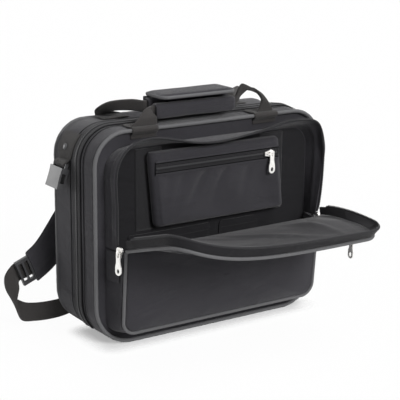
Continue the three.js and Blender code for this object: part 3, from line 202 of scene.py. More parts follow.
def trough(half, bottom, top, radius, count):
    """Down one side, along the bottom and up the other, evenly stepped."""
    return along(np.vstack([[[-half, top]], bend(-half + radius, bottom + radius, radius, 2 * QUARTER),
                            bend(half - radius, bottom + radius, radius, -QUARTER), [[half, top]]]), count)


def upright(points, y):
    """Points of the face's plane put at a depth y."""
    p = np.asarray(points, float)
    return xyz(p[:, 0], y, p[:, 1]).astype(float)


def level(points, z):
    """Points of a flat outline put at a height z."""
    return xyz(points[:, 0], points[:, 1], z).astype(float)


def moved(line, y):
    return line + np.array([0, y, 0])


def ripple(p, size, reach, seed):
    """Soft unevenness of cloth at points p, up to about reach, with folds about size long.

    It is a sum of six sine waves whose directions and starts come from a seeded generator.
    """
    rng = np.random.default_rng(seed)
    total = np.zeros(p.shape[:-1])
    for k in range(6):
        d = rng.normal(size=3)
        d *= 2 * math.pi / (size * (0.7 + 0.35 * k) * np.linalg.norm(d))
        total += np.sin(p @ d + rng.uniform(0, 2 * math.pi)) / (1 + 0.4 * (5 - k))
    return total * reach / 2.4


# Making meshes


def surface(grid, loop=False):
    """A closed patch over grid[row, column]. Every row closes on itself, and with loop the last row meets the first.

    Without loop a flat face closes each end. The map coordinates are distances in metres along the middle row and
    along a column a quarter of the way round.
    """
    rows, cols = grid.shape[:2]
    index = np.arange(rows * cols).reshape(rows, cols)
    index = np.hstack([index, index[:, :1]])
    if loop:
        index = np.vstack([index, index[:1]])

    def quads_of(a):
        return np.stack([a[:-1, :-1], a[:-1, 1:], a[1:, 1:], a[1:, :-1]], axis=2)

    flat = grid.reshape(-1, 3)
    u = run_of(flat[index[index.shape[0] // 2]]) * MM
    v = run_of(flat[index[:, index.shape[1] // 4]]) * MM
    uv = np.stack(np.meshgrid(u, v), axis=-1)
    ends = [] if loop else [index[0, :-1][::-1].tolist(), index[-1, :-1].tolist()]
    return {"points": flat, "quads": quads_of(index).reshape(-1, 4), "uv": quads_of(uv).reshape(-1, 4, 2), "ends": ends}


def folded(under, over):
    """A closed sheet between two faces."""
    return surface(np.concatenate([under, over[:, ::-1]], axis=1))


def repeated(pattern, places, along_axis, out_axis):
    """Copies of one small patch: each point is place + x * along + y * across + z * outward, for every place."""
    p = pattern["points"]
    axes = np.stack([along_axis, np.cross(out_axis, along_axis), out_axis], axis=1)
    shift = np.arange(len(places)) * len(p)
    return {
        "points": (places[:, None] + p @ axes).reshape(-1, 3),
        "quads": (pattern["quads"][None] + shift[:, None, None]).reshape(-1, 4),
        "uv": np.tile(pattern["uv"], (len(places), 1, 1)),
        "ends": [[i + s for i in end] for s in shift.tolist() for end in pattern["ends"]],
    }


def volume(patch):
    """Six times the volume that a closed patch holds, positive where its faces look outwards."""
    p, q = patch["points"], patch["quads"]
    a, b, c, d = (p[q[:, k]] for k in range(4))
    total = np.einsum("ij,ij->", a, np.cross(b, c)) + np.einsum("ij,ij->", a, np.cross(c, d))
    for end in patch["ends"]:
        e = p[end]
        total += np.einsum("ij,ij->", np.broadcast_to(e[0], e[1:-1].shape), np.cross(e[1:-1], e[2:]))
    return total


def piece(name, patches, look, body, stands_for=(), sharp=50):
    """One object from closed patches given in millimetres, riding on a body, with its finish and what it replaces."""
    patches = patches if isinstance(patches, list) else [patches]
    points, quads, uvs, ends, start = [], [], [], [], 0
    for patch in patches:
        way = -1 if volume(patch) < 0 else 1
        quads.append(patch["quads"][:, ::way] + start)
        uvs.append(patch["uv"][:, ::way])
        ends += [[i + start for i in end[::way]] for end in patch["ends"]]
        points.append(patch["points"])
        start += len(patch["points"])
    quads = np.vstack(quads)
    mesh = bpy.data.meshes.new(name)
    mesh.from_pydata((np.vstack(points) * MM).tolist(), [], quads.tolist() + ends)
    layer = mesh.uv_layers.new(name="UVMap")
    flat = np.zeros((len(mesh.loops), 2), np.float32)
    flat[: quads.size] = np.vstack(uvs).reshape(-1, 2)
    layer.data.foreach_set("uv", flat.ravel())
    smooth(mesh, sharp)
    mesh.materials.append(finishes[look])
    mesh.validate()
    obj = bpy.data.objects.new(name, mesh)
    bpy.context.scene.collection.objects.link(obj)
    if isinstance(body, str):
        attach(obj, body)
    else:
        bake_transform(obj)
    if stands_for:
        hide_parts(*stands_for)
    return obj


def smooth(mesh, sharp):
    mesh.polygons.foreach_set("use_smooth", np.ones(len(mesh.polygons), bool))
    mesh.set_sharp_from_angle(angle=math.radians(sharp))


def tube(line, radius, closed=False, sides=12):
    """A round cord along a line: each ring is the place plus radius * (cos a * side + sin a * up).

    Up stays as near to the case's depth as the line allows.
    """
    d = heading(line, closed)
    up = np.array([0.0, 1.0, 0.0]) - d * d[:, 1:2]
    weak = np.linalg.norm(up, axis=1) < 0.2
    up[weak] = UPWARD - d[weak] * d[weak, 2:3]
    up = unit(up)
    a = around(sides)[:, None]
    r = np.broadcast_to(radius, len(line))[:, None, None]
    return surface(line[:, None] + r * (np.cos(a) * np.cross(d, up)[:, None] + np.sin(a) * up[:, None]), loop=closed)


def banded(rows, steps, sides=24, soft=0.2):
    """Webbing or a padded strap along listed rows of place, width vector and thickness, as the solid runs.

    Each of the three follows a smooth line. The section is a superellipse: half width * cos^soft along the width,
    half thickness * sin^0.7 across it. Beside the patch come its middle, its half width and its half thickness.
    """
    route, across, thick = (np.array(column, float) for column in zip(*rows))
    place = catmull(route, steps)
    side = catmull(across, steps) / 2
    half = catmull(np.stack([thick] * 3, axis=1), steps)[:, :1] / 2
    rise = unit(np.cross(heading(place), side)) * half
    a = around(sides)[:, None]
    wide, tall = squared(np.cos(a), soft), squared(np.sin(a), 0.7)
    return surface(place[:, None] + wide * side[:, None] + tall * rise[:, None]), place, side, rise


def walled(edge_a, edge_b, inner, outer, across, lift):
    """A cloth wall between two edges: the place is (1 - v) * a + v * b + (offset + lift) * normal.

    The offset is inner on the way out and outer on the way back, so the wall is a closed ring at every station.
    """
    v = np.linspace(0, 1, across + 1)
    out = v[None, :, None]
    base = edge_a[:, None] * (1 - out) + edge_b[:, None] * out
    normal = sideways(edge_a)[:, None] * (1 - out) + sideways(edge_b)[:, None] * out
    extra = lift(base, v)[..., None]
    return folded(base + normal * (inner + extra), base + normal * (outer + extra))


def strip_along(line, outward, half, thick, rows=8):
    """A band along a line: place + across * (-half to half) + outward * thickness, closed over its two faces."""
    out = np.broadcast_to(outward, line.shape)
    flat = line[:, None] + np.cross(out, heading(line))[:, None] * np.linspace(-half, half, rows)[None, :, None]
    rise = out[:, None] * (thick * (1 - 0.5 * np.abs(np.linspace(-1, 1, rows))[None, :, None] ** 6))
    return folded(flat, flat + rise)


def surface_rows(outline, stations):
    """Rows of an outline drawn in to shares of itself about its middle, at each station's depth."""
    middle = outline.mean(axis=0)
    return np.stack([upright(middle + share * (outline - middle), depth) for share, depth in stations])


def domed(outline, stations, depth_of=None):
    """A closed form of one outline with stations of share and depth, to which depth_of adds at each place."""
    grid = surface_rows(outline, stations)
    if depth_of:
        for row, (share, depth) in zip(grid, stations):
            row[:, 1] += depth_of(row[:, [0, 2]], share, depth)
    return surface(grid)


def padded_rows(base, rim, steps, face, inner):
    """Stations of a pad: its flat back, a smooth rim through a few stations, and its face from inner to the middle."""
    back = [(s, base) for s in (0.05, 0.6)]
    return back + smooth_stations(rim, steps) + [(s, base + 6) for s in np.linspace(inner, 0.02, face)]


def smooth_stations(stations, steps):
    """More stations on one smooth line through a few."""
    return catmull([(s, y, 0) for s, y in stations], steps)[:, :2].tolist()


def case_ring(inset, floor, y, count=420):
    """The case's outline drawn in by an inset, with its underside raised by floor, at a depth y."""
    base = rounded(SIDE_X, 0, CASE_HEIGHT, BOTTOM_RADIUS, TOP_RADIUS, count)
    ring = upright(base, y)
    ring -= sideways(ring, True) * inset
    ring[:, 2] += np.where(base[:, 1] <= BOTTOM_RADIUS, floor - inset, 0)
    return ring


def opened(points):
    """The flap is drawn closed and turned about its fold: y' = y cos - z sin and z' = y sin + z cos."""
    p = np.array(points, float)
    y, z = p[..., 1] - FOLD_Y, p[..., 2] - FOLD_Z
    c, s = math.cos(FLAP_OPEN), math.sin(FLAP_OPEN)
    p[..., 1] = FOLD_Y + y * c - z * s
    p[..., 2] = FOLD_Z + y * s + z * c
    return p


def swung(patch):
    """A patch of the closed flap, turned with it."""
    return {**patch, "points": opened(patch["points"])}


def flap_run(x):
    return np.clip((x + POCKET_FRONT_HALF) / (2 * POCKET_FRONT_HALF), 0, 1)


def flap_rise(z):
    return np.clip((z - FOLD_Z) / (FLAP_TOP - FOLD_Z), 0, 1)


def flap_sag(x, z):
    """How far the soft flap hangs out of flat: droop (1 - (1 - run)^5) rise^1.6 from its left side and its fold."""
    return FLAP_DROOP * (1 - (1 - flap_run(x)) ** FLAP_SPREAD) * flap_rise(z) ** FLAP_CURL


def panel_slope(z):
    """How far the pocket's front leans back towards its lower edge."""
    return PANEL_LEAN * (FOLD_Z - z) / (FOLD_Z - POCKET_FRONT_BOTTOM)


# Small repeated things


def stitch_pattern(length, width):
    """One stitch of thread: rings of six points whose radius swells as a sine from end to end."""
    t = np.linspace(0, 1, 5)[:, None]
    a = around(6)
    r = width / 2 * np.sin(math.pi * (0.12 + 0.76 * t))
    return surface(xyz((t - 0.5) * length, r * np.cos(a), r * np.sin(a) * 0.7 - 0.25 * width * (2 * t - 1) ** 2))


def tooth_pattern(length, reach, height):
    """A moulded tooth: a superellipsoid, longer across the zip, with its hooked end thicker than its root."""
    t = np.linspace(0.08, 0.92, 7)[:, None] * math.pi
    a = around(8)
    r = np.sin(t) ** 0.45
    y = -np.cos(t) * reach / 2
    end = 1 + 0.25 * (y / reach + 0.5)
    return surface(xyz(length / 2 * r * squared(np.cos(a), 0.6) * end, y, height / 2 * r * squared(np.sin(a), 0.6)))


def spaced(line, outward, at):
    """Places at given distances along a line, their directions, and the outward directions squared to them."""
    run = run_of(line)
    places, out = (sampled(p, run, at) for p in (line, np.broadcast_to(outward, line.shape)))
    d = heading(places)
    return places, d, unit(out - d * np.sum(out * d, axis=1, keepdims=True))


def stitched(line, outward, closed=False):
    """A row of stitches along a line that lies on a surface, with the surface's outward directions."""
    look = bpy.context.scene.case_sizes
    pitch, width = look.stitch_pitch / MM, look.thread_width / MM
    out = np.broadcast_to(outward, line.shape)
    if closed:
        line, out = np.vstack([line, line[:1]]), np.vstack([out, out[:1]])
    length = run_of(line)[-1]
    count = max(int(length / pitch), 2)
    places, d, n = spaced(line, out, (np.arange(count) + 0.5) * length / count)
    return repeated(stitch_pattern(pitch * 0.72, width), places + n * width * 0.2, d, n)


def boxed(x, low, high, z):
    """Stitches round a rectangle that lies flat on webbing, and across its two diagonals."""
    half = 16
    a, b, c, d = ((x - half, low, z), (x + half, low, z), (x + half, high, z), (x - half, high, z))
    crosses = [stitched(along(ends, 40), UPWARD) for ends in ((a, c), (b, d))]
    return [stitched(along((a, b, c, d), 90, True), UPWARD, True), *crosses]


def chain(line, outward, pitch, reach, height, offset=0, start=0.0):
    """Teeth along a line, a pitch apart, set off sideways from it. Start is a share of the pitch."""
    count = int(run_of(line)[-1] / pitch) - 1
    places, d, n = spaced(line, outward, (np.arange(count) + 0.6 + start) * pitch)
    return repeated(tooth_pattern(pitch * 0.42, reach, height), places + np.cross(n, d) * offset, d, n)


# Materials


class Wire:
    """An output socket of some nodes that takes part in Python sums."""

    def __init__(self, nodes, socket):
        self.nodes, self.socket = nodes, socket

    def sum(self, operation, *others, clamp=False):
        return self.nodes.node("Math", {"operation": operation, "use_clamp": clamp}, dict(enumerate((self, *others))))

    def __add__(self, other):
        return self.sum("ADD", other)

    def __sub__(self, other):
        return self.sum("SUBTRACT", other)

    def __rsub__(self, other):
        return self.nodes.node("Math", {"operation": "SUBTRACT"}, {0: other, 1: self})

    def __mul__(self, other):
        return self.sum("MULTIPLY", other)


class Nodes:
    """A node tree, with node() to add a node of a kind and get one of its outputs."""

    def __init__(self, tree):
        self.tree = tree

    def node(self, kind, settings=None, inputs=None, output=0):
        made = self.tree.nodes.new("ShaderNode" + kind)
        for key, value in (settings or {}).items():
            setattr(made, key, value)
        for key, value in (inputs or {}).items():
            if isinstance(value, Wire):
                self.tree.links.new(value.socket, made.inputs[key])
            else:
                made.inputs[key].default_value = value
        return Wire(self, made.outputs[output])


class Shader(Nodes):
    """One material with a Principled surface, with its fixed values set."""

    def __init__(self, name, fixed):
        self.material = bpy.data.materials.new(name)
        self.material.use_nodes = True
        super().__init__(self.material.node_tree)
        self.surface = self.tree.nodes["Principled BSDF"]
        for socket, value in fixed.items():
            self.surface.inputs[socket].default_value = value

    def feed(self, socket, wire):
        self.tree.links.new(wire.socket, self.surface.inputs[socket])

    def place(self, output="Object"):
        return self.node("TexCoord", output=output)

    def mapped(self, scale, **more):
        return self.node("Mapping", {}, {"Vector": self.place(), "Scale": scale, **more})

    def noise(self, where, scale, detail, **more):
        return self.node("TexNoise", {}, {"Vector": where, "Scale": scale, "Detail": detail, **more}, "Fac")

    def blend(self, share, a, b):
        return self.node("Mix", {"data_type": "RGBA"}, {0: share, 6: a, 7: b}, 2)

    def bump(self, height, distance):
        self.feed("Normal", self.node("Bump", {}, {"Height": height, "Distance": distance, "Strength": 1.0}))


def shade(colour, share):
    return (*[min(c * share, 1) for c in colour[:3]], 1)


def weave_height(shader, pitch, twill):
    """Height of a plain weave on the piece's own map: warp and weft threads take turns to lie on top.

    With x and y in threads, it is |sin(pi x)| where sin(pi x) sin(pi y) is positive and |sin(pi y)| elsewhere.
    A twill shifts each row by half a thread, which draws slanting ribs.
    """
    split = shader.node("SeparateXYZ", {}, {0: shader.place("UV")}).socket.node
    x, y = (Wire(shader, split.outputs[k]) * (1 / pitch) for k in range(2))
    if twill:
        x = x + y * 0.5
    warp, weft = ((way * math.pi).sum("SINE") for way in (x, y))
    turn = (warp * weft * 3 + 0.5).sum("ADD", 0.0, clamp=True)
    return warp.sum("ABSOLUTE") * turn + weft.sum("ABSOLUTE") * (1 - turn)


def woven(name, colour, pitch, roughness=0.8, depth=0.00012, sheen=0.25, twill=False, gloss=0.28, crease=0.0):
    """Cloth: threads from the weave, slubs, a cloudy change of tone, and creases that run across the piece."""
    shader = Shader(name, {
        "Roughness": roughness, "Specular IOR Level": gloss, "Sheen Weight": sheen, "Sheen Roughness": 0.45,
    })
    where = shader.place()
    thread = weave_height(shader, pitch, twill)
    fine = shader.noise(where, 900, 2)
    cloudy = shader.blend(shader.noise(where, 14, 4), shade(colour, 0.72), shade(colour, 1.28))
    tone = shader.blend(thread * 0.55 + fine * 0.3, shade(colour, 0.55), cloudy)
    slub = (shader.noise(shader.mapped((640, 640, 900)), 1.0, 3) * 4 - 1.5).sum("ADD", 0.0, clamp=True)
    shader.feed("Base Color", shader.blend(slub, shade(colour, 0.72), tone))
    shader.feed("Roughness", fine * 0.16 + (roughness - 0.08))
    height = thread * depth + fine * (depth * 0.5) + slub * (depth * 0.8)
    if crease:
        bent = shader.mapped((9, 9, 22), Rotation=(0.2, 0.5, 0.3))
        height = height + (shader.noise(bent, 1.0, 2.0, Distortion=0.8) * 2 - 1).sum("ABSOLUTE") * (-crease)
    shader.bump(height, 1.0)
    return shader.material


def piled(name, colour, scale, depth=0.0004, sheen=0.15):
    """A pile of short fibres, as on plush or on the loop side of a hook fastening."""
    shader = Shader(name, {"Roughness": 0.95, "Specular IOR Level": 0.15, "Sheen Weight": sheen})
    where = shader.place()
    fibre = shader.noise(where, scale, 5)
    brushed = shader.noise(where, 22, 2)
    tone = shader.blend(brushed, shade(colour, 0.7), shade(colour, 1.35))
    shader.feed("Base Color", shader.blend(fibre, shade(colour, 0.5), tone))
    shader.bump(fibre + brushed * 0.6, depth)
    return shader.material


def moulded(name, colour, roughness=0.34):
    """Moulded plastic: a fine grain, and patches that were rubbed to another tone and shine."""
    shader = Shader(name, {"Specular IOR Level": 0.5, "Coat Roughness": 0.3})
    where = shader.place()
    rubbed = shader.noise(where, 60, 3)
    shader.feed("Base Color", shader.blend(rubbed, shade(colour, 0.85), shade(colour, 1.2)))
    shader.feed("Roughness", rubbed * 0.2 + (roughness - 0.08))
    shader.bump(shader.noise(where, 2600, 2), 0.00004)
    return shader.material


def plated(name, colour):
    """Nickel plate over a casting: bright, with fine scratches along it and duller hollows."""
    shader = Shader(name, {"Metallic": 1.0, "Specular IOR Level": 0.5})
    scratch = shader.noise(shader.mapped((2200, 2200, 260)), 1.0, 2)
    dull = shader.noise(shader.place(), 180, 3)
    shader.feed("Base Color", shader.blend(dull, shade(colour, 0.82), shade(colour, 1.08)))
    shader.feed("Roughness", scratch * 0.14 + dull * 0.12 + 0.28)
    shader.bump(scratch, 0.00002)
    return shader.material


finishes = {}


def make_finishes():
    tint = bpy.context.scene.case_colours
    pitch = bpy.context.scene.case_sizes.thread_pitch
    finishes.update(
        nylon=woven("woven_nylon", tint.nylon, pitch, gloss=0.12, sheen=0.18, crease=0.002),
        lining=woven("satin_lining", tint.lining, pitch * 0.6, 0.55, 0.00005, 0.1, gloss=0.2, crease=0.004),
        # backing is under half the nylon's colour: partly its own darker cloth, partly painted shade of the recesses
        # behind the flap
        backing=woven("pocket_backing", tint.backing, pitch, gloss=0.1, sheen=0.1, crease=0.003),
        # A quarter of the backing's colour, a painted shade: dark strips and tubes laid where the zips' edges and
        # grooves meet the cloth
        groove=woven("painted_shade_lines", shade(tint.backing, 0.25), 0.0009, gloss=0.05, sheen=0.0),
        edging=woven("bound_edging", tint.edging, 0.0007, 0.7, 0.00012, 0.1, True),
        tape=woven("zip_cloth", tint.tape, 0.0009, 0.8, 0.00014, 0.08, True),
        belt=woven("ribbed_webbing", tint.webbing, 0.0016, 0.82, 0.0003, 0.12, True),
        # The loop pile takes the backing colour, which is partly painted shade inside the pocket
        pile=piled("hook_and_loop", tint.backing, 1500, 0.0005, 0.3),
        plush=piled("plush_pile", tint.plush, 1100),
        mesh=woven("spacer_cloth", tint.nylon, 0.0024, 0.85, 0.0006, 0.2),
        thread=woven("sewing_thread", tint.thread, 0.0003, 0.6, 0.00003, 0.1),
        teeth=moulded("zip_teeth", tint.teeth, 0.38),
        plastic=moulded("buckle_plastic", tint.plastic),
        nickel=plated("plated_nickel", tint.nickel),
    )


# What a user may change


def colour_prop(name, description, default):
    return bpy.props.FloatVectorProperty(
        name=name, description=description, default=default, subtype="COLOR", size=3, min=0, max=1
    )


def size_prop(name, description, default):
    return bpy.props.FloatProperty(
        name=name, description=description, default=default, min=0.00005, max=0.1, unit="LENGTH", precision=5
    )


class CaseSizes(bpy.types.PropertyGroup):
    """Sizes of the cloth's own details."""

    thread_pitch: size_prop("Thread pitch", "Distance between two threads of the woven nylon", 0.0008)
    stitch_pitch: size_prop("Stitch pitch", "Distance from one stitch to the next", 0.0034)
    thread_width: size_prop("Thread width", "Width of the sewing thread", 0.0006)
    tooth_pitch: size_prop("Tooth pitch", "Distance between two teeth on one side of the main zip", 0.0032)
    fine_pitch: size_prop("Fine tooth pitch", "Distance between two teeth of the small zips", 0.0024)
    slack: size_prop("Slack", "How far loose cloth stands out of flat", 0.0018)


class CaseColours(bpy.types.PropertyGroup):
    """Colours of the finishes."""

    nylon: colour_prop("Nylon", "Woven outer cloth", (0.039, 0.0375, 0.0435))
    lining: colour_prop("Lining", "Smooth cloth inside the flap and the pocket", (0.03, 0.029, 0.032))
    # Under half the nylon's colour: a darker cloth, and partly painted shade of the recess behind the flap where it is
    # used
    backing: colour_prop("Backing", "Thin cloth of the pocket's back and its slip pockets", (0.016, 0.0155, 0.0175))
    edging: colour_prop("Edging", "Cloth bound round the piping", (0.13, 0.13, 0.135))
    tape: colour_prop("Zip cloth", "Cloth that the zips are woven on", (0.017, 0.0165, 0.019))
    webbing: colour_prop("Webbing", "Handles, tabs and straps", (0.034, 0.031, 0.03))
    plush: colour_prop("Plush", "Pile of the tray and the lid's pad", (0.02, 0.023, 0.036))
    thread: colour_prop("Thread", "Sewing thread", (0.03, 0.03, 0.032))
    teeth: colour_prop("Zip teeth", "Moulded teeth of the zips", (0.022, 0.022, 0.024))
    plastic: colour_prop("Plastic", "Buckles and ladder locks", (0.032, 0.032, 0.034))
    nickel: colour_prop("Nickel", "Sliders and pulls", (0.93, 0.915, 0.89))


class MakeCase(bpy.types.Operator):
    """What the operators that make pieces share."""

    bl_options = {"REGISTER"}

    def execute(self, context):
        if not finishes:
            make_finishes()
        look = context.scene.case_sizes
        self.slack, self.tooth_pitch, self.fine_pitch = look.slack / MM, look.tooth_pitch / MM, look.fine_pitch / MM
        self.make()
        return {"FINISHED"}


class CASE_OT_shells(MakeCase):
    """Makes the cloth of the two shells, their piping and the cloth hinge."""

    bl_idname = "case.shells"
    bl_label = "Shells"

    def shell(self, name, body, face_y, split_y, back, inset, node):
        """A dish: the outline drawn in and out and moved in depth, from the outer face round the lip to the inner."""
        middle_z = CASE_HEIGHT / 2
        inner_y = face_y - SHELL_WALL * back

        def ring(share, draw, floor, y):
            middle = np.array([0, y, middle_z])
            return middle + share * (case_ring(draw, floor, y) - middle)

        rows = [ring(s, inset + BEVEL, BEVEL, face_y) for s in (0.2, 0.6, 0.85, 0.95, 0.985)]
        for a in np.linspace(0, QUARTER, 6):
            cut = BEVEL * (1 - math.sin(a))
            rows.append(ring(1, inset + cut, cut, face_y - back * BEVEL * (1 - math.cos(a))))
        wall_start = len(rows)
        for t in np.linspace(0, 1, 16)[1:]:
            pinch = 0.5 * math.exp(-((t / 0.06) ** 2)) + 0.4 * math.exp(-(((1 - t) / 0.05) ** 2))
            rows.append(ring(1, inset * (1 - t) + pinch, pinch, (face_y - back * BEVEL) * (1 - t) + split_y * t))
        wall_end = len(rows)
        rows += [ring(1, d, d, split_y) for d in (1.6, SHELL_WALL - 1.2)]
        deep = split_y + (inner_y - split_y) * np.linspace(0.03, 0.97, 8)
        rows += [ring(1, SHELL_WALL, SHELL_WALL, y) for y in deep]
        rows += [ring(s, inset + SHELL_WALL, SHELL_WALL, inner_y) for s in (0.99, 0.9, 0.5, 0.2)]
        grid = np.stack(rows)
        soft = np.zeros(len(rows))
        soft[wall_start:wall_end] = 1
        dent = np.minimum(ripple(grid, 95, 0.8, 4) - 0.25, 0.25) * soft[:, None] * (grid[..., 2] > 12)
        grid += unit(grid - UPWARD * middle_z) * dent[..., None] * (1, 0, 1)
        piece(name, surface(grid), "nylon", body, [node], 40)

    def make(self):
        self.shell("lid_cloth", "lid", FRONT_FACE_Y, SPLIT_Y - SEAT / 2, -1, FRONT_INSET, "front_shell")
        self.shell("case_cloth", "case_body", BACK_FACE_Y, SPLIT_Y + SEAT / 2, 1, BACK_INSET, "rear_shell")
        for name, body, way, pipe_y, face_y, inset, node in (
            ("lid_edging", "lid", -1, FRONT_Y, FRONT_FACE_Y, FRONT_INSET, "front_piping"),
            ("case_edging", "case_body", 1, BACK_Y, BACK_FACE_Y, BACK_INSET, "rear_piping"),
        ):
            line = case_ring(inset + PIPE_SINK, PIPE_RADIUS + SEAT, pipe_y, 700)
            radius = PIPE_RADIUS * (0.97 + 0.03 * np.sin(around(700) * 90))
            piece(name, tube(line, radius, True, 14), "edging", body, [node])
            seam_gap = 1.6
            drawn_in, raised = inset + PIPE_SINK + PIPE_RADIUS + seam_gap, PIPE_RADIUS * 2 + seam_gap
            seam = case_ring(drawn_in, raised, face_y + way * 0.1, 500)
            piece(name + "_seam", stitched(seam, -way * FORWARD, True), "thread", body)
        half = SIDE_X - BOTTOM_RADIUS
        y = np.linspace(SPLIT_Y - TAPE_WIDTH, SPLIT_Y + 1.7, 24)
        under = xyz(np.linspace(-half, half, 60)[:, None], y[None], SHELL_WALL + SEAT + 0.1)
        hinge = folded(under, under + UPWARD * (TAPE_THICK - 0.2))
        start, end = ((0, (SPLIT_Y + off) * MM, 0) for off in (1.2, -1.2))
        piece("hinge_cloth", hinge, "tape", ("case_body", "lid", start, end),
              ["front_hinge_tape", "rear_hinge_tape"])


class CASE_OT_zips(MakeCase):
    """Makes the cloth and teeth of the main zip, the pouch's zip and the outer zip."""

    bl_idname = "case.zips"
    bl_label = "Zips"

    def make(self):
        top_x, top_z, low_x = SIDE_X - TOP_RADIUS, CASE_HEIGHT - TOP_RADIUS, SIDE_X - BOTTOM_RADIUS
        base = np.vstack([
            bend(low_x, BOTTOM_RADIUS, BOTTOM_RADIUS, -QUARTER)[7:], bend(top_x, top_z, TOP_RADIUS, 0),
            bend(-top_x, top_z, TOP_RADIUS, QUARTER), bend(-low_x, BOTTOM_RADIUS, BOTTOM_RADIUS, 2 * QUARTER)[:-7],
        ])
        line = upright(along(base, 900), SPLIT_Y)
        out = sideways(line)
        near, far, reach = CHAIN_GAP / 2, CHAIN_GAP / 2 + TAPE_WIDTH, 3.6
        for name, body, way, start, node in (
            ("lid_zip", "lid", -1, 0.0, "front_zip_tape"), ("case_zip", "case_body", 1, 0.5, "rear_zip_tape"),
        ):
            def beside(lift, off):
                """The chain's line, lifted off the shell and moved off to this side."""
                return moved(line + out * lift, way * off)

            tape = strip_along(beside(SEAT, (near + far) / 2), out, TAPE_WIDTH / 2, TAPE_THICK)
            piece(name + "_cloth", tape, "tape", body, [node])
            seams = [stitched(beside(SEAT + TAPE_THICK * lift, near + off), out)
                     for lift, off in ((0.9, 4.6), (0.8, 6.6))]
            piece(name + "_seams", seams, "thread", body)
            teeth = chain(beside(1.62, reach / 2 - 1.15), out, self.tooth_pitch, reach, 1.7, 0, start)
            piece(name + "_teeth", teeth, "teeth", body)
            # Dark strips beside the zip's cloth, in the groove colour: painted shade of the gaps and seam lines at the
            # tape's edges
            gap_shades = [strip_along(beside(lift, far + off), out, half, 0.3, 3)
                     for off, half, lift in ((0.7, 0.9, 0.3), (7.6, 0.8, 0.25))]
            piece(name + "_painted_gap_shade", gap_shades, "groove", body)
        self.small("pouch_zip", "pouch_body", (-96, 97), 230, POUCH_FRONT_Y - SEAT, None, "pouch_zip_tape")
        self.small("outer_zip", "flap", (-140, 140), 227, PANEL_FACE_Y - OUTER_ZIP_STAND, flap_sag, "outer_zip_tape")

    def small(self, name, body, span, z, y, sag, node):
        """A closed zip on a panel: cloth with its two rows of teeth locked together along the middle."""
        x = np.linspace(*span, 180)
        rows = np.linspace(-6, 6, 14)
        xx, zz = np.meshgrid(x, z + rows, indexing="ij")

        def lay(stand, xs, zs):
            zs = np.broadcast_to(zs, xs.shape)
            p = xyz(xs, y - stand - (sag(xs, zs) if sag else 0), zs)
            return opened(p) if sag else p

        cloth = folded(lay(0.02, xx, zz), lay((0.35 + 0.35 * np.exp(-((rows / 2.0) ** 2)))[None], xx, zz))
        # The small zips' cloth takes the backing colour, which is partly painted shade under the flap
        piece(name + "_cloth", cloth, "backing", body, [node])
        # The dark tubes 6.4 mm either side, in the groove colour, are painted shade of the grooves beside the zip; the
        # nylon tubes at 7.9 mm are its lips
        for kind, off, radius in (("groove", 6.4, 0.7), ("nylon", 7.9, 0.95)):
            lips = [tube(lay(0.1, x, z + way * off), radius, sides=8) for way in (-1, 1)]
            piece(f"{name}_{kind}_lips", lips, kind, body)
        line = lay(0.72, x, z)
        out = lay(1.72, x, z) - line
        teeth = [chain(line, out, self.fine_pitch, 2.6, 0.8, off, start) for off, start in ((0.55, 0.0), (-0.55, 0.5))]
        piece(name + "_teeth", teeth, "teeth", body)
        seams = [stitched(lay(0.42, x, z + off), out) for off in (-5.0, -3.4, 3.4, 5.0)]
        piece(name + "_seams", seams, "thread", body)


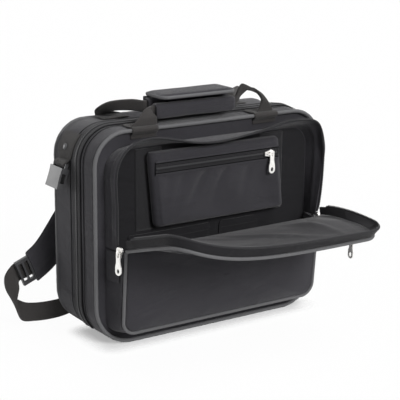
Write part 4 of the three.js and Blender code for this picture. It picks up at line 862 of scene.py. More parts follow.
class CASE_OT_pocket(MakeCase):
    """Makes the front pocket: its side wall, its panel, the standing collar, the edging and the end patches."""

    bl_idname = "case.pocket"
    bl_label = "Front pocket"

    COLLAR = [
        (1.0, 0.0), (1.03, 0.12), (1.06, 0.5), (1.055, 0.8), (0.985, 1.05), (0.7, 1.115), (0.38, 1.045), (0.0, 0.99),
        (-0.22, 1.005), (-0.68, 1.11), (-0.88, 1.03), (-0.98, 0.84), (-0.985, 0.4), (-0.985, 0.0),
    ]

    def make(self):
        back = trough(POCKET_HALF, POCKET_BOTTOM, FOLD_Z, POCKET_RADIUS, 260)
        front = trough(POCKET_FRONT_HALF, POCKET_FRONT_BOTTOM, FOLD_Z, POCKET_RADIUS, 260)
        edge = upright(front, GUSSET_EDGE_Y + panel_slope(front[:, 1]))

        def sides(p, v):
            return np.minimum((ripple(p, 48, self.slack * 1.7, 11) - 0.6) * np.sin(math.pi * v)[None], 0.5)

        wall = walled(upright(back, POCKET_BACK_Y), edge, -POCKET_WALL, 0, 16, sides)
        piece("pocket_side_cloth", wall, "nylon", "lid", ["pocket_gusset"])

        def lean(q, share, depth):
            return panel_slope(q[:, 1]) + ripple(upright(q, 0), 110, self.slack * 0.9, 5) * (1 - share**4)

        outline = rounded(PANEL_HALF, POCKET_FRONT_BOTTOM + 2 * POCKET_PIPE_RADIUS + SEAT, FOLD_Z - SEAT,
                          POCKET_RADIUS - 2 * POCKET_PIPE_RADIUS, POCKET_PIPE_RADIUS, 360)
        shares = np.concatenate([np.linspace(0.03, 0.8, 14), np.linspace(0.84, 1, 9)])
        crown = [(s, PANEL_FACE_Y - PANEL_CROWN * (1 - s**7.4)) for s in shares]
        inside = [(s, y + PANEL_THICK) for s, y in crown[::-1]]
        piece("pocket_panel_cloth", domed(outline, crown + inside, lean), "nylon", "lid", ["pocket_panel"])

        path = trough(PIPE_HALF, POCKET_FRONT_BOTTOM + POCKET_PIPE_RADIUS, FOLD_Z - SEAT,
                      POCKET_RADIUS - POCKET_PIPE_RADIUS, 420)
        line = upright(path, PIPE_LINE_Y + panel_slope(path[:, 1]))
        piece("pocket_edging", tube(line, POCKET_PIPE_RADIUS, sides=14), "edging", "lid", ["pocket_piping"])
        seam = line - sideways(line) * (POCKET_PIPE_RADIUS + 1.9)
        seam[:, 1] = PANEL_FACE_Y + panel_slope(seam[:, 2]) - 1.05
        n = sideways(edge)
        side_seam = moved(edge + n * 0.25, 3.2)
        seams = [stitched(seam[6:-6], FORWARD), stitched(side_seam[4:-4], n[4:-4])]
        piece("pocket_seams", seams, "thread", "lid")
        self.collar()
        self.patches()

    def collar(self):
        count = 320
        base = upright(arch(POCKET_HALF, POCKET_TOP, POCKET_TOP_RADIUS, count), POCKET_BACK_Y)
        free = [[x * POCKET_HALF, COLLAR_Y, FOLD_Z + SEAT + z * (POCKET_TOP - FOLD_Z)] for x, z in self.COLLAR]
        free = along(catmull(free, 900), count)

        def folds(p, v):
            run = np.linspace(0, 1, count)[:, None]
            lean = ripple(p, 58, self.slack * 1.5, 21) * v[None]
            tuck = -1.1 * np.exp(-(((v[None] - 0.55) / 0.12) ** 2)) * (0.5 + 0.5 * np.sin(run * 9))
            for end in (run, 1 - run):
                lean, tuck = (part * np.sin(math.pi * np.clip(end * 20, 0, 0.5)) for part in (lean, tuck))
            return lean + tuck

        wall = walled(base, free, -POCKET_WALL, 0, 18, folds)
        piece("collar_cloth", wall, "nylon", "lid", ["gusset_collar"])
        n = sideways(free)
        middle = free - n * (POCKET_WALL / 2)
        piece("collar_binding", tube(moved(middle, -0.4)[3:-3], 1.45, sides=10), "tape", "lid")
        outer, inner = moved(free + n * 0.55, 3.4), moved(free - n * (POCKET_WALL + 0.3), 4.2)
        seams = [stitched(outer[6:-6], n[6:-6]), stitched(inner[6:-6], -n[6:-6])]
        piece("collar_seams", seams, "thread", "lid")
        teeth = chain(moved(middle, -2.3)[5:-5], n[5:-5], self.fine_pitch, 1.9, 1.0)
        piece("collar_teeth", teeth, "teeth", "lid")

    def patches(self):
        """The zip's ends are covered by a patch on each side wall, sewn round in a box."""
        lean = (POCKET_HALF - POCKET_FRONT_HALF) / (POCKET_BACK_Y - GUSSET_EDGE_Y)

        def wall_x(y):
            return POCKET_HALF - (POCKET_BACK_Y - y) * lean

        near, far, low, high = -53, -77, 92, 132
        yy, zz = np.meshgrid(np.linspace(near, far, 12), np.linspace(low, high, 18), indexing="ij")
        a, b, c, d = near - 2, far + 2, low + 2.5, high - 2.5
        ring = along([(a, c), (b, c), (b, d), (a, d)], 120, True)
        for side, hand in HANDS:
            out = np.array([float(side), 0, 0])
            under = xyz(side * (wall_x(yy) + 0.35), yy, zz)
            over = under + out * 0.9
            over[[0, -1], :, 0] -= side * 0.4
            over[:, [0, -1], 0] -= side * 0.4
            piece(f"zip_patch_{hand}", folded(under, over), "nylon", "lid")
            sew = xyz(side * (wall_x(ring[:, 0]) + 1.2), ring[:, 0], ring[:, 1])
            piece(f"zip_patch_{hand}_seam", stitched(sew, out, True), "thread", "lid")


class CASE_OT_organizer(MakeCase):
    """Makes what is sewn to the case's face behind the flap: two strips of loop pile and two slip pockets, over a dark
    sheet of painted shade.
    """

    bl_idname = "case.organizer"
    bl_label = "Organizer"

    def make(self):
        back = POCKET_BACK_Y
        face = rounded(POCKET_HALF - POCKET_WALL - 1, POCKET_BOTTOM + POCKET_WALL + 1, POCKET_TOP - POCKET_WALL - 1,
                       POCKET_RADIUS - 3, POCKET_TOP_RADIUS - 3, 300)
        lifts = ((0.05, 0.04), (0.4, 0.04), (0.8, 0.04), (1, 0.06), (1, 0.2), (0.05, 0.2))
        # A dark sheet laid 0.04 to 0.2 mm off the case's face inside the pocket, in the backing colour: painted shade
        # of the recess behind the flap
        piece("pocket_back_shade_sheet", domed(face, [(s, back + lift) for s, lift in lifts]), "backing", "lid")
        strip_x, half, low, top = 96.5, 19.5, 147, POCKET_TOP - 2 * POCKET_WALL
        stations = [(s, back - stand) for s, stand in (
            (0.05, 1.5), (0.6, 1.55), (0.93, 1.5), (0.985, 1.2), (1, 0.7), (1, 0), (0.5, 0), (0.05, 0))]
        for side, hand in HANDS:
            strip = domed(rounded(half, low, top, 0.6, 0.6, 240, side * strip_x), stations)
            piece(f"loop_strip_{hand}", strip, "pile", "lid", [f"grip_strip_{hand}"])
            sew = upright(rounded(half - 1.9, low + 2, top - 2, 0.5, 0.5, 300, side * strip_x), back - 1.62)
            piece(f"loop_strip_{hand}_seam", stitched(sew, FORWARD, True), "thread", "lid")
        self.slip_pocket("left", -127, -1.5, 2)
        self.slip_pocket("right", 13, 76, 7)

    def slip_pocket(self, hand, left, right, round_top):
        """Cloth that stands off by sin(pi u)^0.5 v^1.4 towards its hemmed mouth, u across it and v up it."""
        back, low, high, hem = POCKET_BACK_Y, 32, 143, 11
        wide, tall = right - left, high - low

        def stand(u, v):
            return 1.5 * (np.sin(math.pi * u) ** 0.5) * v**1.4

        uu, vv = np.meshgrid(np.linspace(0, 1, 60), np.linspace(0, 1, 50), indexing="ij")
        x = left + wide * uu
        corner = np.clip(1 - np.minimum(uu, 1 - uu) * wide / round_top, 0, 1)
        drop = round_top * (1 - np.sqrt(np.clip(1 - corner**2, 0, 1)))
        z = low + (tall - drop) * vv
        off = stand(uu, vv) + np.abs(ripple(xyz(x, 0.0, z), 45, 0.5, 31)) * np.sin(math.pi * uu) * vv
        outer = xyz(x, back - 1.0 - off - 0.45 * (z > high - hem - drop), z)
        cloth = folded(xyz(x, back - 0.15 - off * 0.96, z), outer)
        # The slip pockets take the backing colour, which is partly painted shade of the recess behind the flap
        piece(f"slip_pocket_{hand}_cloth", cloth, "backing", "lid", [f"slip_pocket_{hand}"])
        rows = []
        for inset in (1.6, 4.2):
            a, b, bottom = left + inset, right - inset, low + inset
            sew = upright(along([(a, high - 2), (a, bottom), (b, bottom), (b, high - 2)], 240), back)
            run, across = np.clip((sew[:, 2] - low) / tall, 0, 1), np.clip((sew[:, 0] - left) / wide, 0, 1)
            sew[:, 1] -= 1.05 + stand(across, run)
            rows.append(stitched(sew, FORWARD))
        x, z = np.linspace(left + 3, right - 3, 120), high - 9.5
        rows.append(stitched(xyz(x, back - 1.6 - stand((x - left) / wide, (z - low) / tall), z), FORWARD))
        piece(f"slip_pocket_{hand}_seams", rows, "thread", "lid")


class CASE_OT_pouch(MakeCase):
    """Makes the accessory pouch, a soft bag whose cloth hangs in shallow folds below its zip."""

    bl_idname = "case.pouch"
    bl_label = "Pouch"

    HALF, LOW, HIGH, RADIUS, CENTRE, LEAN = 102, 151, 250, 6, 4, 0.1
    ZIP_Z, DRAG_Z = 230, 222
    CREASES = [(-17, 0.6, 2.7, 7), (-50, 0.4, 2.0, 7), (14, 0.5, 2.0, 7), (50, 0.2, 1.3, 7), (-76, 0.1, 1.4, 6)]

    def make(self):
        back = FRONT_FACE_Y - 2 * SEAT - 1.6
        front = back - 15.4

        def leaned(inset, count):
            low, high, radius = self.LOW + inset, self.HIGH - inset, self.RADIUS
            q = rounded(self.HALF - inset, low, high, radius, radius, count, self.CENTRE)
            q[:, 0] += ((self.LOW + self.HIGH) / 2 - q[:, 1]) * self.LEAN
            return q

        def hang(q, share, depth):
            """Cloth that drags on its zip: stretched ripples and creases reach exp(-d^2 - ((drop - 16) / 24)^2)."""
            if depth > front + 1:
                return 0
            drop = np.clip(self.DRAG_Z - q[:, 1], 0, None)
            below = np.clip(drop / 30, 0, 1)
            drag = ripple(upright(q, 0) * (1.0, 1.0, 0.45), 62, 3.0, 9) * below
            for x0, lean, reach, width in self.CREASES:
                d = (q[:, 0] - x0 + lean * drop) / width
                drag = drag + reach * np.exp(-(d**2) - ((drop - 16) / 24) ** 2) * np.clip(drop / 8, 0, 1)
            flat = np.clip((0.97 - share) / 0.2, 0, 1)
            return (drag - 0.5 * below) * flat * (1 - np.exp(-(((q[:, 1] - self.ZIP_Z) / 8.5) ** 2)))

        rim = [(0.92, front), (0.975, front + 3.39), (1, front + 9.24), (0.98, front + 13.86), (0.93, back)]
        rows = [(s, front) for s in np.linspace(0.02, 0.9, 30)] + smooth_stations(rim, 22)
        rows += [(s, back) for s in (0.9, 0.5, 0.05)]
        form = domed(leaned(0, 400), rows, hang)
        pouch = piece("pouch_cloth", form, "nylon", "pouch_body", ["pouch"])
        edge = upright(leaned(0.6, 420), front + 9.3)
        piece("pouch_seam_edge", tube(edge, 1.1, True, 8), "nylon", "pouch_body")


class CASE_OT_flap(MakeCase):
    """Makes the flap: its sagging outer cloth, the smooth lining, the side wall, the edging and the bound rim."""

    bl_idname = "case.flap"
    bl_label = "Flap"

    FOLDS = [(88, 62, 3.0, 0.55), (22, 150, 2.6, 0.45), (-60, 120, 1.6, 0.5)]

    def make(self):
        top = FLAP_TOP - 2 * POCKET_PIPE_RADIUS - SEAT
        radius = POCKET_TOP_RADIUS - 2 * POCKET_PIPE_RADIUS
        flat = PANEL_HALF - radius
        corner = flat + radius * np.sin(np.linspace(0, QUARTER, 15)[1:])
        x = np.concatenate([-corner[::-1], np.linspace(-flat, flat, 96), corner])
        edge = top - radius + np.sqrt(np.clip(radius**2 - np.clip(np.abs(x) - flat, 0, None) ** 2, 0, None))
        v = np.linspace(0, 1, 44)
        z = FOLD_Z + SEAT + (edge[:, None] - FOLD_Z - SEAT) * v[None]
        xx = np.broadcast_to(x[:, None], z.shape)
        calm = np.sin(math.pi * v)[None].clip(0) ** 0.5 * np.clip((PANEL_HALF - np.abs(xx)) / 20, 0, 1)
        sag = flap_sag(xx, z) + ripple(xyz(xx, 0.0, z), 85, self.slack * 2.3, 14) * calm

        def layer(near, far, loose=0):
            a, b = xyz(xx, PANEL_FACE_Y + near - sag, z), xyz(xx, PANEL_FACE_Y + far - sag + loose, z)
            return folded(opened(a), opened(b))

        piece("flap_cloth", layer(0, 1.7), "nylon", "flap", ["flap_panel"])
        lining = layer(1.8, PANEL_THICK, self.slack_lining(xx, z) * calm)
        piece("flap_lining", lining, "lining", "flap")

        line = upright(arch(PIPE_HALF, FLAP_TOP - POCKET_PIPE_RADIUS, POCKET_TOP_RADIUS - POCKET_PIPE_RADIUS, 420),
                       PIPE_LINE_Y)
        hang = flap_sag(line[:, 0], line[:, 2])
        line[:, 1] -= hang
        edging = swung(tube(line, POCKET_PIPE_RADIUS, sides=14))
        piece("flap_edging", edging, "edging", "flap", ["flap_piping"])
        self.side_wall(hang)

        inward = (line - sideways(line) * (POCKET_PIPE_RADIUS + 2.4))[10:-10]
        rows = []
        for y, way in ((PANEL_FACE_Y - 0.05, -1.0), (PANEL_FACE_Y + PANEL_THICK + 0.05, 1.0)):
            sew = xyz(inward[:, 0], y - flap_sag(inward[:, 0], inward[:, 2]), inward[:, 2])
            rows.append(stitched(opened(sew), opened(moved(sew, way)) - opened(sew)))
        piece("flap_seams", rows, "thread", "flap")

    def side_wall(self, hang):
        """The wall is sewn on along the edging and flares outwards to its free edge, its cloth keeping its width."""
        low = upright(arch(POCKET_FRONT_HALF, FLAP_TOP, POCKET_TOP_RADIUS, 420), GUSSET_EDGE_Y)
        low[:, 1] -= hang
        low[:, 2] = np.maximum(low[:, 2], FOLD_Z + 2 * POCKET_WALL)
        flare = RIM_FLARE * flap_rise(low[:, 2]) * np.sqrt(flap_run(low[:, 0]))
        high = low + sideways(low) * flare[:, None]
        high[:, 1] += np.sqrt((COLLAR_Y - SEAT - GUSSET_EDGE_Y) ** 2 - flare**2)

        def soft(q, v):
            return ripple(q, 60, self.slack * 0.4, 17) * np.sin(math.pi * v)[None] - 0.2

        wall = walled(low, high, -POCKET_WALL, 0, 12, soft)
        # The wall's outside takes the backing colour, which is partly painted shade under the flap
        piece("flap_wall_cloth", swung(wall), "backing", "flap", ["flap_rim"])
        inner = walled(low, high, -POCKET_WALL - 0.3, -POCKET_WALL + 0.2, 12, soft)
        piece("flap_wall_lining", swung(inner), "lining", "flap")
        n = sideways(high)
        rim = high - n * (POCKET_WALL / 2)
        piece("flap_binding", swung(tube(moved(rim, 0.5)[14:-14], 1.5, sides=10)), "tape", "flap")
        teeth = chain(moved(rim, 2.3)[16:-16], n[16:-16], self.fine_pitch, 1.9, 1.0)
        piece("flap_teeth", swung(teeth), "teeth", "flap")

    def slack_lining(self, x, z):
        """The lining's folds: a hump 6 exp(-u^2 - v^2), creases reach exp(-d^2 - w^2) and a roll towards the edge."""
        rise = flap_rise(z)
        total = 6 * np.exp(-(((x - 112) / 34) ** 2) - ((rise - 0.5) / 0.3) ** 2)
        for x0, lean, reach, at in self.FOLDS:
            d = (x - x0 - lean * (rise - at)) / 7
            total = total + reach * np.exp(-(d**2) - ((rise - at) / 0.32) ** 2)
        return total + 3.5 * np.clip((rise - 0.62) / 0.38, 0, 1) ** 2 * flap_run(x)


def through_grip(y, z):
    stub = FOLDED_WIDTH / 4
    places = (GRIP_LEFT - stub, GRIP_LEFT, HANDLE_CENTRE, GRIP_RIGHT, GRIP_RIGHT + stub)
    return [((x, y, z), ON_EDGE, FOLDED_THICK) for x in places]


def turned_back(width):
    return tuple(-w for w in width)


class CASE_OT_handles(MakeCase):
    """Makes the two webbing handles with their anchors, the padded grips and the wrap that holds them together."""

    bl_idname = "case.handles"
    bl_label = "Handles"

    def make(self):
        for x, hand in ((HANDLE_LEFT, "left"), (HANDLE_RIGHT, "right")):
            self.anchors(x, hand)
        self.webbing("front", self.front_rows())
        self.webbing("rear", self.rear_rows())
        self.grip("front", FRONT_Y, FRONT_GRIP_Z, FRONT_GRIP_TALL)
        self.grip("rear", REAR_GRIP_Y, REAR_GRIP_Z, REAR_GRIP_TALL)
        self.wrap()

    def webbing(self, which, rows):
        patch, place, side, rise = banded(rows, 10 * (len(rows) - 1) + 1, soft=0.32)
        body, out = which + "_handle_loop", unit(rise)
        piece(which + "_handle_webbing", patch, "belt", body, [which + "_handle"])
        seams = [stitched((place + side * 0.75 + rise * way * 0.96)[4:-4], (out * way)[4:-4]) for way in (1, -1)]
        piece(which + "_handle_webbing_seams", seams, "thread", body)

    def front_rows(self):
        y, z = FRONT_Y + GRIP_DEPTH / 2, FRONT_GRIP_Z + FRONT_GRIP_TALL / 2
        base_y, base_z, climb = FRONT_Y, FRONT_ANCHOR_TOP + PIVOT_GAP, 38
        thin, thick, fold = WEBBING_THICK, FOLDED_THICK, FOLDED_WIDTH
        left, right = HANDLE_LEFT, HANDLE_RIGHT
        turned = (fold * 0.8, 0, -fold * 0.5)
        return [
            ((left, base_y, base_z), (WEBBING_WIDTH, 0, 0), thin),
            ((left + thick, base_y, base_z + fold * 0.6), (WEBBING_WIDTH * 0.7, 0, 0), thick / 2),
            ((left + 2 * thick, base_y + thick, base_z + fold), turned, thick),
            *through_grip(y, z),
            ((GRIP_RIGHT + fold, y, base_z + climb - fold / 2), ON_EDGE, thick),
            ((right - WEBBING_WIDTH / 3, base_y + thick / 2, base_z + climb * 0.7), turned_back(turned), thick),
            ((right, base_y, base_z + fold * 0.8), (-fold * 0.9, 0, fold * 0.5), thick),
            ((right, base_y, base_z + fold * 0.25), (-fold * 1.4, 0, 0), thick / 2),
            ((right, base_y, base_z), (-fold * 1.7, 0, 0), thin),
        ]

    def rear_rows(self):
        y, z = REAR_GRIP_Y + GRIP_DEPTH / 2, REAR_GRIP_Z + REAR_GRIP_TALL / 2
        base_y, base_z = REAR_HANDLE_Y, REAR_ANCHOR_TOP + PIVOT_GAP
        thin, thick, fold = WEBBING_THICK, FOLDED_THICK, FOLDED_WIDTH
        left, right = HANDLE_LEFT, HANDLE_RIGHT
        lean = (base_y - y) / 4
        low, high, outer = base_z + fold * 0.5, base_z + fold, right + fold / 3
        flat, folding = (WEBBING_WIDTH, 0, 0), (WEBBING_WIDTH * 0.6, 0, -fold * 0.3)
        return [
            ((left, base_y, base_z), flat, thin),
            ((left - fold * 0.8, base_y - lean * 0.6, low), folding, thick / 2),
            ((left - fold * 0.6, base_y - lean * 1.6, high), (fold * 0.6, 0, -fold * 0.8), thick),
            ((left + fold / 2, base_y - lean * 3, z), ON_EDGE, thick),
            *through_grip(y, z),
            ((right - fold, base_y - lean * 2.6, z), ON_EDGE, thick),
            ((outer, base_y - lean * 1.3, high), ON_EDGE, thick),
            ((outer, base_y - lean * 0.6, low), turned_back(folding), thick / 2),
            ((right, base_y, base_z), turned_back(flat), thin),
        ]

    def anchors(self, x, hand):
        """Webbing sewn to the top: the front piece runs over the piping and down the face, the rear one lies flat."""
        half = WEBBING_THICK / 2
        reach = PIPE_RADIUS + SEAT + half
        top, face = CASE_HEIGHT - FRONT_INSET + SEAT + half, FRONT_FACE_Y - SEAT - half
        bent = [(FRONT_Y + reach * math.cos(QUARTER * k), PIPE_TOP + reach * math.sin(QUARTER * k))
                for k in (1, 1.5, 2, 2.5)]
        front = [(FRONT_Y + 6 * reach, top + FRONT_INSET), (FRONT_Y + 3 * reach, top + FRONT_INSET / 2), *bent,
                 (face, PIPE_TOP - 1.8 * reach), (face, PIPE_TOP - 3 * reach)]
        z, near, long = REAR_ANCHOR_TOP - half, REAR_HANDLE_Y, WEBBING_WIDTH * 0.6
        rear = [(near + half, z), (near - WEBBING_WIDTH / 3, z), (near - long, z)]
        for end, body, line, steps, seams in (
            ("front", "lid", front, 61, boxed(x, -44, -28, top + half + 0.75)),
            ("rear", "case_body", rear, 25, boxed(x, near - long + 2.5, near - 1.5, z + half)),
        ):
            patch = banded([((x, *at), (WEBBING_WIDTH, 0, 0), WEBBING_THICK) for at in line], steps)[0]
            piece(f"{end}_anchor_{hand}", patch, "belt", body, [f"{end}_handle_anchor_{hand}"])
            piece(f"{end}_anchor_{hand}_seams", seams, "thread", body)

    def grip(self, which, y, z, tall):
        """A padded sleeve: a superellipse section, carried along the grip, that is drawn in at its sewn ends."""
        rings = 60
        t = np.linspace(0, 1, rings)
        length = GRIP_RIGHT - GRIP_LEFT
        x = (GRIP_LEFT + length * t)[:, None]
        full = (0.86 + 0.14 * np.sin(np.clip(np.minimum(t, 1 - t) / 0.035, 0, 1) * QUARTER) ** 0.6)[:, None]
        wide, high = GRIP_DEPTH / 2, tall / 2
        cy, cz = y + wide, z + high
        c, s = np.cos(around(44)), np.sin(around(44))
        sec_y, sec_z = squared(c, 0.62), squared(s, 0.55)
        p = xyz(x, cy + full * wide * sec_y, cz + full * high * sec_z)
        p = p + (ripple(p, 34, 0.5, 41)[..., None] - 0.35) * xyz(0.0, sec_y, sec_z)
        slot_y, slot_z = FOLDED_THICK / 2 + SEAT, FOLDED_WIDTH / 2 + SEAT
        inner = xyz(x, cy + slot_y * squared(c, 0.3), cz + slot_z * squared(s, 0.3))
        patches = [surface(np.concatenate([p, inner[::-1]], axis=0), loop=True)]
        if which == "rear":
            b = around(16)
            low, top = z + tall * 0.6, WRAP_Z - SEAT
            ys = WRAP_Y - SEAT - 2.2 + 2.1 * squared(np.cos(b), 0.5)
            zs = (low + top) / 2 + (top - low) / 2 * squared(np.sin(b), 0.4)
            patches.append(surface(xyz((GRIP_LEFT + length * np.linspace(0, 1, 40))[:, None], ys, zs)))
        name, body = which + "_grip_pad", which + "_handle_loop"
        pad = piece(name, patches, "nylon", body, [which + "_grip"])
        sewn = [p[int(share * (rings - 1))] for share in (6 / length, (length - 6) / length)]
        seams = [stitched(ring, unit(ring - (ring[0, 0], cy, cz)), True) for ring in sewn]
        piece(name + "_seams", seams, "thread", body)

    def wrap(self):
        """The wrap is a stiff padded flap: a rounded rectangle whose top is crowned and whose rim is bound."""
        centre, half = (GRIP_LEFT + GRIP_RIGHT) / 2, (GRIP_RIGHT - GRIP_LEFT) / 2 - 4
        front, back, front_radius, back_radius = WRAP_Y - WRAP_DEPTH, WRAP_Y - SEAT, 10.5, 2.6
        stations = [(s, 0.0) for s in (0.03, 0.5, 0.9, 0.97, 0.99)] + smooth_stations(
            [(1, 0.0), (1, 3.5), (0.95, 5.25), (0.8, 6.5), (0.5, 7.0), (0.02, 7.1)], 40)
        grid = surface_rows(rounded(half, front, back, front_radius, back_radius, 300, centre), stations)
        puff = ripple(grid, 48, 0.5, 43) * np.clip(grid[..., 1] / 4, 0, 1)
        flat = xyz(grid[..., 0], grid[..., 2], WRAP_Z + grid[..., 1] + np.minimum(puff, 0.2))
        pad = piece("wrap_pad", surface(flat), "nylon", "wrap", ["handle_wrap"])
        bound = rounded(half - 0.2, front + 0.2, back - 0.2, front_radius - 0.2, back_radius, 300, centre)
        line = level(bound, WRAP_Z + 2.4)
        a = around(12)[:, None]
        side = np.cross(heading(line, True), UPWARD)[:, None]
        ring = line[:, None] + np.cos(a) * 1.3 * side + np.sin(a) * UPWARD * 2.1
        piece("wrap_binding", surface(ring, loop=True), "edging", "wrap")
        sew = level(rounded(half - 4.6, front + 4.4, back - 4.4, 7, 2, 240, centre), WRAP_Z + 5.35)
        piece("wrap_seam", stitched(sew, UPWARD, True), "thread", "wrap")


class CASE_OT_tabs(MakeCase):
    """Makes the webbing tabs at the top corners that hold the buckles, with their box stitching."""

    bl_idname = "case.tabs"
    bl_label = "Side tabs"

    def make(self):
        corner_x, corner_z, axis_x, axis_z = SIDE_X - TOP_RADIUS, CASE_HEIGHT - TOP_RADIUS, SIDE_X + 6.7, 231
        lie, loop, thick, wide, narrow = TOP_RADIUS + SEAT + 1, 3.05, 2, 38, 27
        places = [(corner_x, corner_z, lie, k / 8, wide if k else narrow) for k in (4, 3, 2, 1, 0)]
        places += [(axis_x, axis_z, loop, k, narrow) for k in (0.75, 0.25, -0.25, -0.75, -1.25, -1.75, -2.2)]
        for side, hand in HANDS:
            rows = [((side * (x + reach * math.cos(QUARTER * k)), TAB_Y, z + reach * math.sin(QUARTER * k)),
                     (0, width, 0), thick) for x, z, reach, k, width in places]
            patch, place, width, rise = banded(rows, 121)
            piece(f"side_tab_{hand}_webbing", patch, "belt", "case_body", [f"side_tab_{hand}"])
            out = unit(rise)
            out *= np.sign(out[2, 2]) if out[2, 2] else 1
            run = slice(3, 36)
            line, width, out = (place + out)[run], width[run], out[run]
            box = np.vstack([line + width * 0.84, (line - width * 0.84)[::-1]])
            seams = [stitched(box, np.vstack([out, out[::-1]]), True)]
            slant = width * np.linspace(-0.8, 0.8, len(line))[:, None]
            seams += [stitched(line + way * slant, out) for way in (1, -1)]
            piece(f"side_tab_{hand}_seams", seams, "thread", "case_body")


class CASE_OT_straps(MakeCase):
    """Makes the padded shoulder straps, the lower webbing and its anchors on the back."""

    bl_idname = "case.straps"
    bl_label = "Shoulder straps"

    ROUTE = [
        (0.28, 0.0, 0.89, 0.6), (0.42, 0.34, 0.82, 0.6), (0.62, 0.85, 0.66, 0.6), (0.82, 1.0, 0.47, 0.66),
        (1.0, 0.97, 0.33, 0.8), (1.12, 0.9, 0.28, 0.93),
    ]
    LOWER = [
        (1.16, 0.98, 0.272, (0.35, 0, 0.93)), (1.24, 1.02, 0.258, (0.38, 0, 0.92)),
        (1.29, 0.92, 0.215, (0.5, 0.6, 0.55)), (1.3, 0.8, 0.14, (0.15, 0.75, 0.6)),
        (1.24, 0.6, 0.085, (-0.1, 0.2, 1)), (1.15, 0.42, 0.075, (0, 0, 1)),
        (0.96, 0.2, 0.08, (0, 0, 1)), (0.78, 0.04, 0.11, (0, 0, 1)),
    ]
    THROUGH_LOCK = [(1.08, 0.9, 0.297), (1.15, 0.96, 0.277), (1.23, 1.0, 0.26)]
    PAD_WIDTH, PAD_THICK, BELT_WIDTH, BELT_THICK, REACH = 45, 8, 26, 1.8, 30

    def make(self):
        for side, hand in HANDS:
            self.padded_strap(side, hand)
            self.lower(side, hand)

    def place(self, side, x, y, z, lie):
        """A place behind the back from its shares of the half width, the straps' reach and the height."""
        return side * x * SIDE_X, BACK_FACE_Y + SEAT + lie + y * self.REACH, z * CASE_HEIGHT

    def padded_strap(self, side, hand):
        """Foam between two cloths: the banded form dips at its two quilted lines and has shallow dents."""
        name, quilting, soft = f"shoulder_strap_{hand}", (-0.5, 0.5), 0.55
        wide = self.PAD_WIDTH
        rows = [(self.place(side, x, y, z, 4), (side * math.sqrt(1 - t * t) * wide, 0, t * wide), self.PAD_THICK)
                for x, y, z, t in self.ROUTE]
        steps, sides = 121, 44
        patch, place, width, rise = banded(rows, steps, sides, soft)
        grid = patch["points"].reshape(steps, sides, 3)
        share = squared(np.cos(around(sides)), soft)
        dip = sum(np.exp(-(((share - at) / 0.07) ** 2)) for at in quilting)
        inward = place[:, None] - grid
        grid += inward * (0.2 * dip * np.abs(np.sin(around(sides))) ** 0.5)[None, :, None]
        grid += inward * np.clip(ripple(grid, 40, 0.06, 51), 0, 0.1)[..., None]
        pad = piece(name + "_pad", surface(grid), "nylon", "case_body", [name])
        edges = [tube((place + width * way * 0.985)[1:-1], 1.15, sides=8) for way in (1, -1)]
        piece(name + "_edges", edges, "tape", "case_body")
        out = unit(rise)
        seams = [stitched((place + width * at + rise * way * 0.78)[3:-3], (out * way)[3:-3])
                 for at in quilting for way in (1, -1)]
        piece(name + "_seams", seams, "thread", "case_body")

    def lower(self, side, hand):
        """The webbing under the lock, the end of it that runs through the lock, and the square it is sewn to."""
        rows = []
        for i, (x, y, z, width) in enumerate(self.LOWER):
            across = unit(np.array(width, float)) * self.BELT_WIDTH * (side, 1, 1)
            lie = SEAT + 1.5 * self.BELT_THICK + (2.5 if i < 2 else 0)
            rows.append((self.place(side, x, y, z, lie), across, self.BELT_THICK))
        belt = banded(rows, 141)[0]
        piece(f"strap_webbing_{hand}_belt", belt, "belt", "case_body", [f"strap_webbing_{hand}"])
        rows = [(self.place(side, *at, 5), (side * 8.4, 0, 22.4), 1.4) for at in self.THROUGH_LOCK]
        piece(f"strap_stub_{hand}_belt", banded(rows, 21, 16)[0], "belt", "case_body")
        x, z, half = side * self.LOWER[-1][0] * SIDE_X, self.LOWER[-1][2] * CASE_HEIGHT, self.BELT_WIDTH / 2
        stations = [(s, BACK_FACE_Y + SEAT + rise) for s, rise in (
            (0.05, 0), (1, 0), (1, 1.2), (0.985, 1.7), (0.9, 1.8), (0.05, 1.8))]
        anchor = domed(rounded(half, z - half, z + half, 1, 1, 120, x), stations)
        piece(f"strap_anchor_{hand}_belt", anchor, "belt", "case_body", [f"strap_anchor_{hand}"])


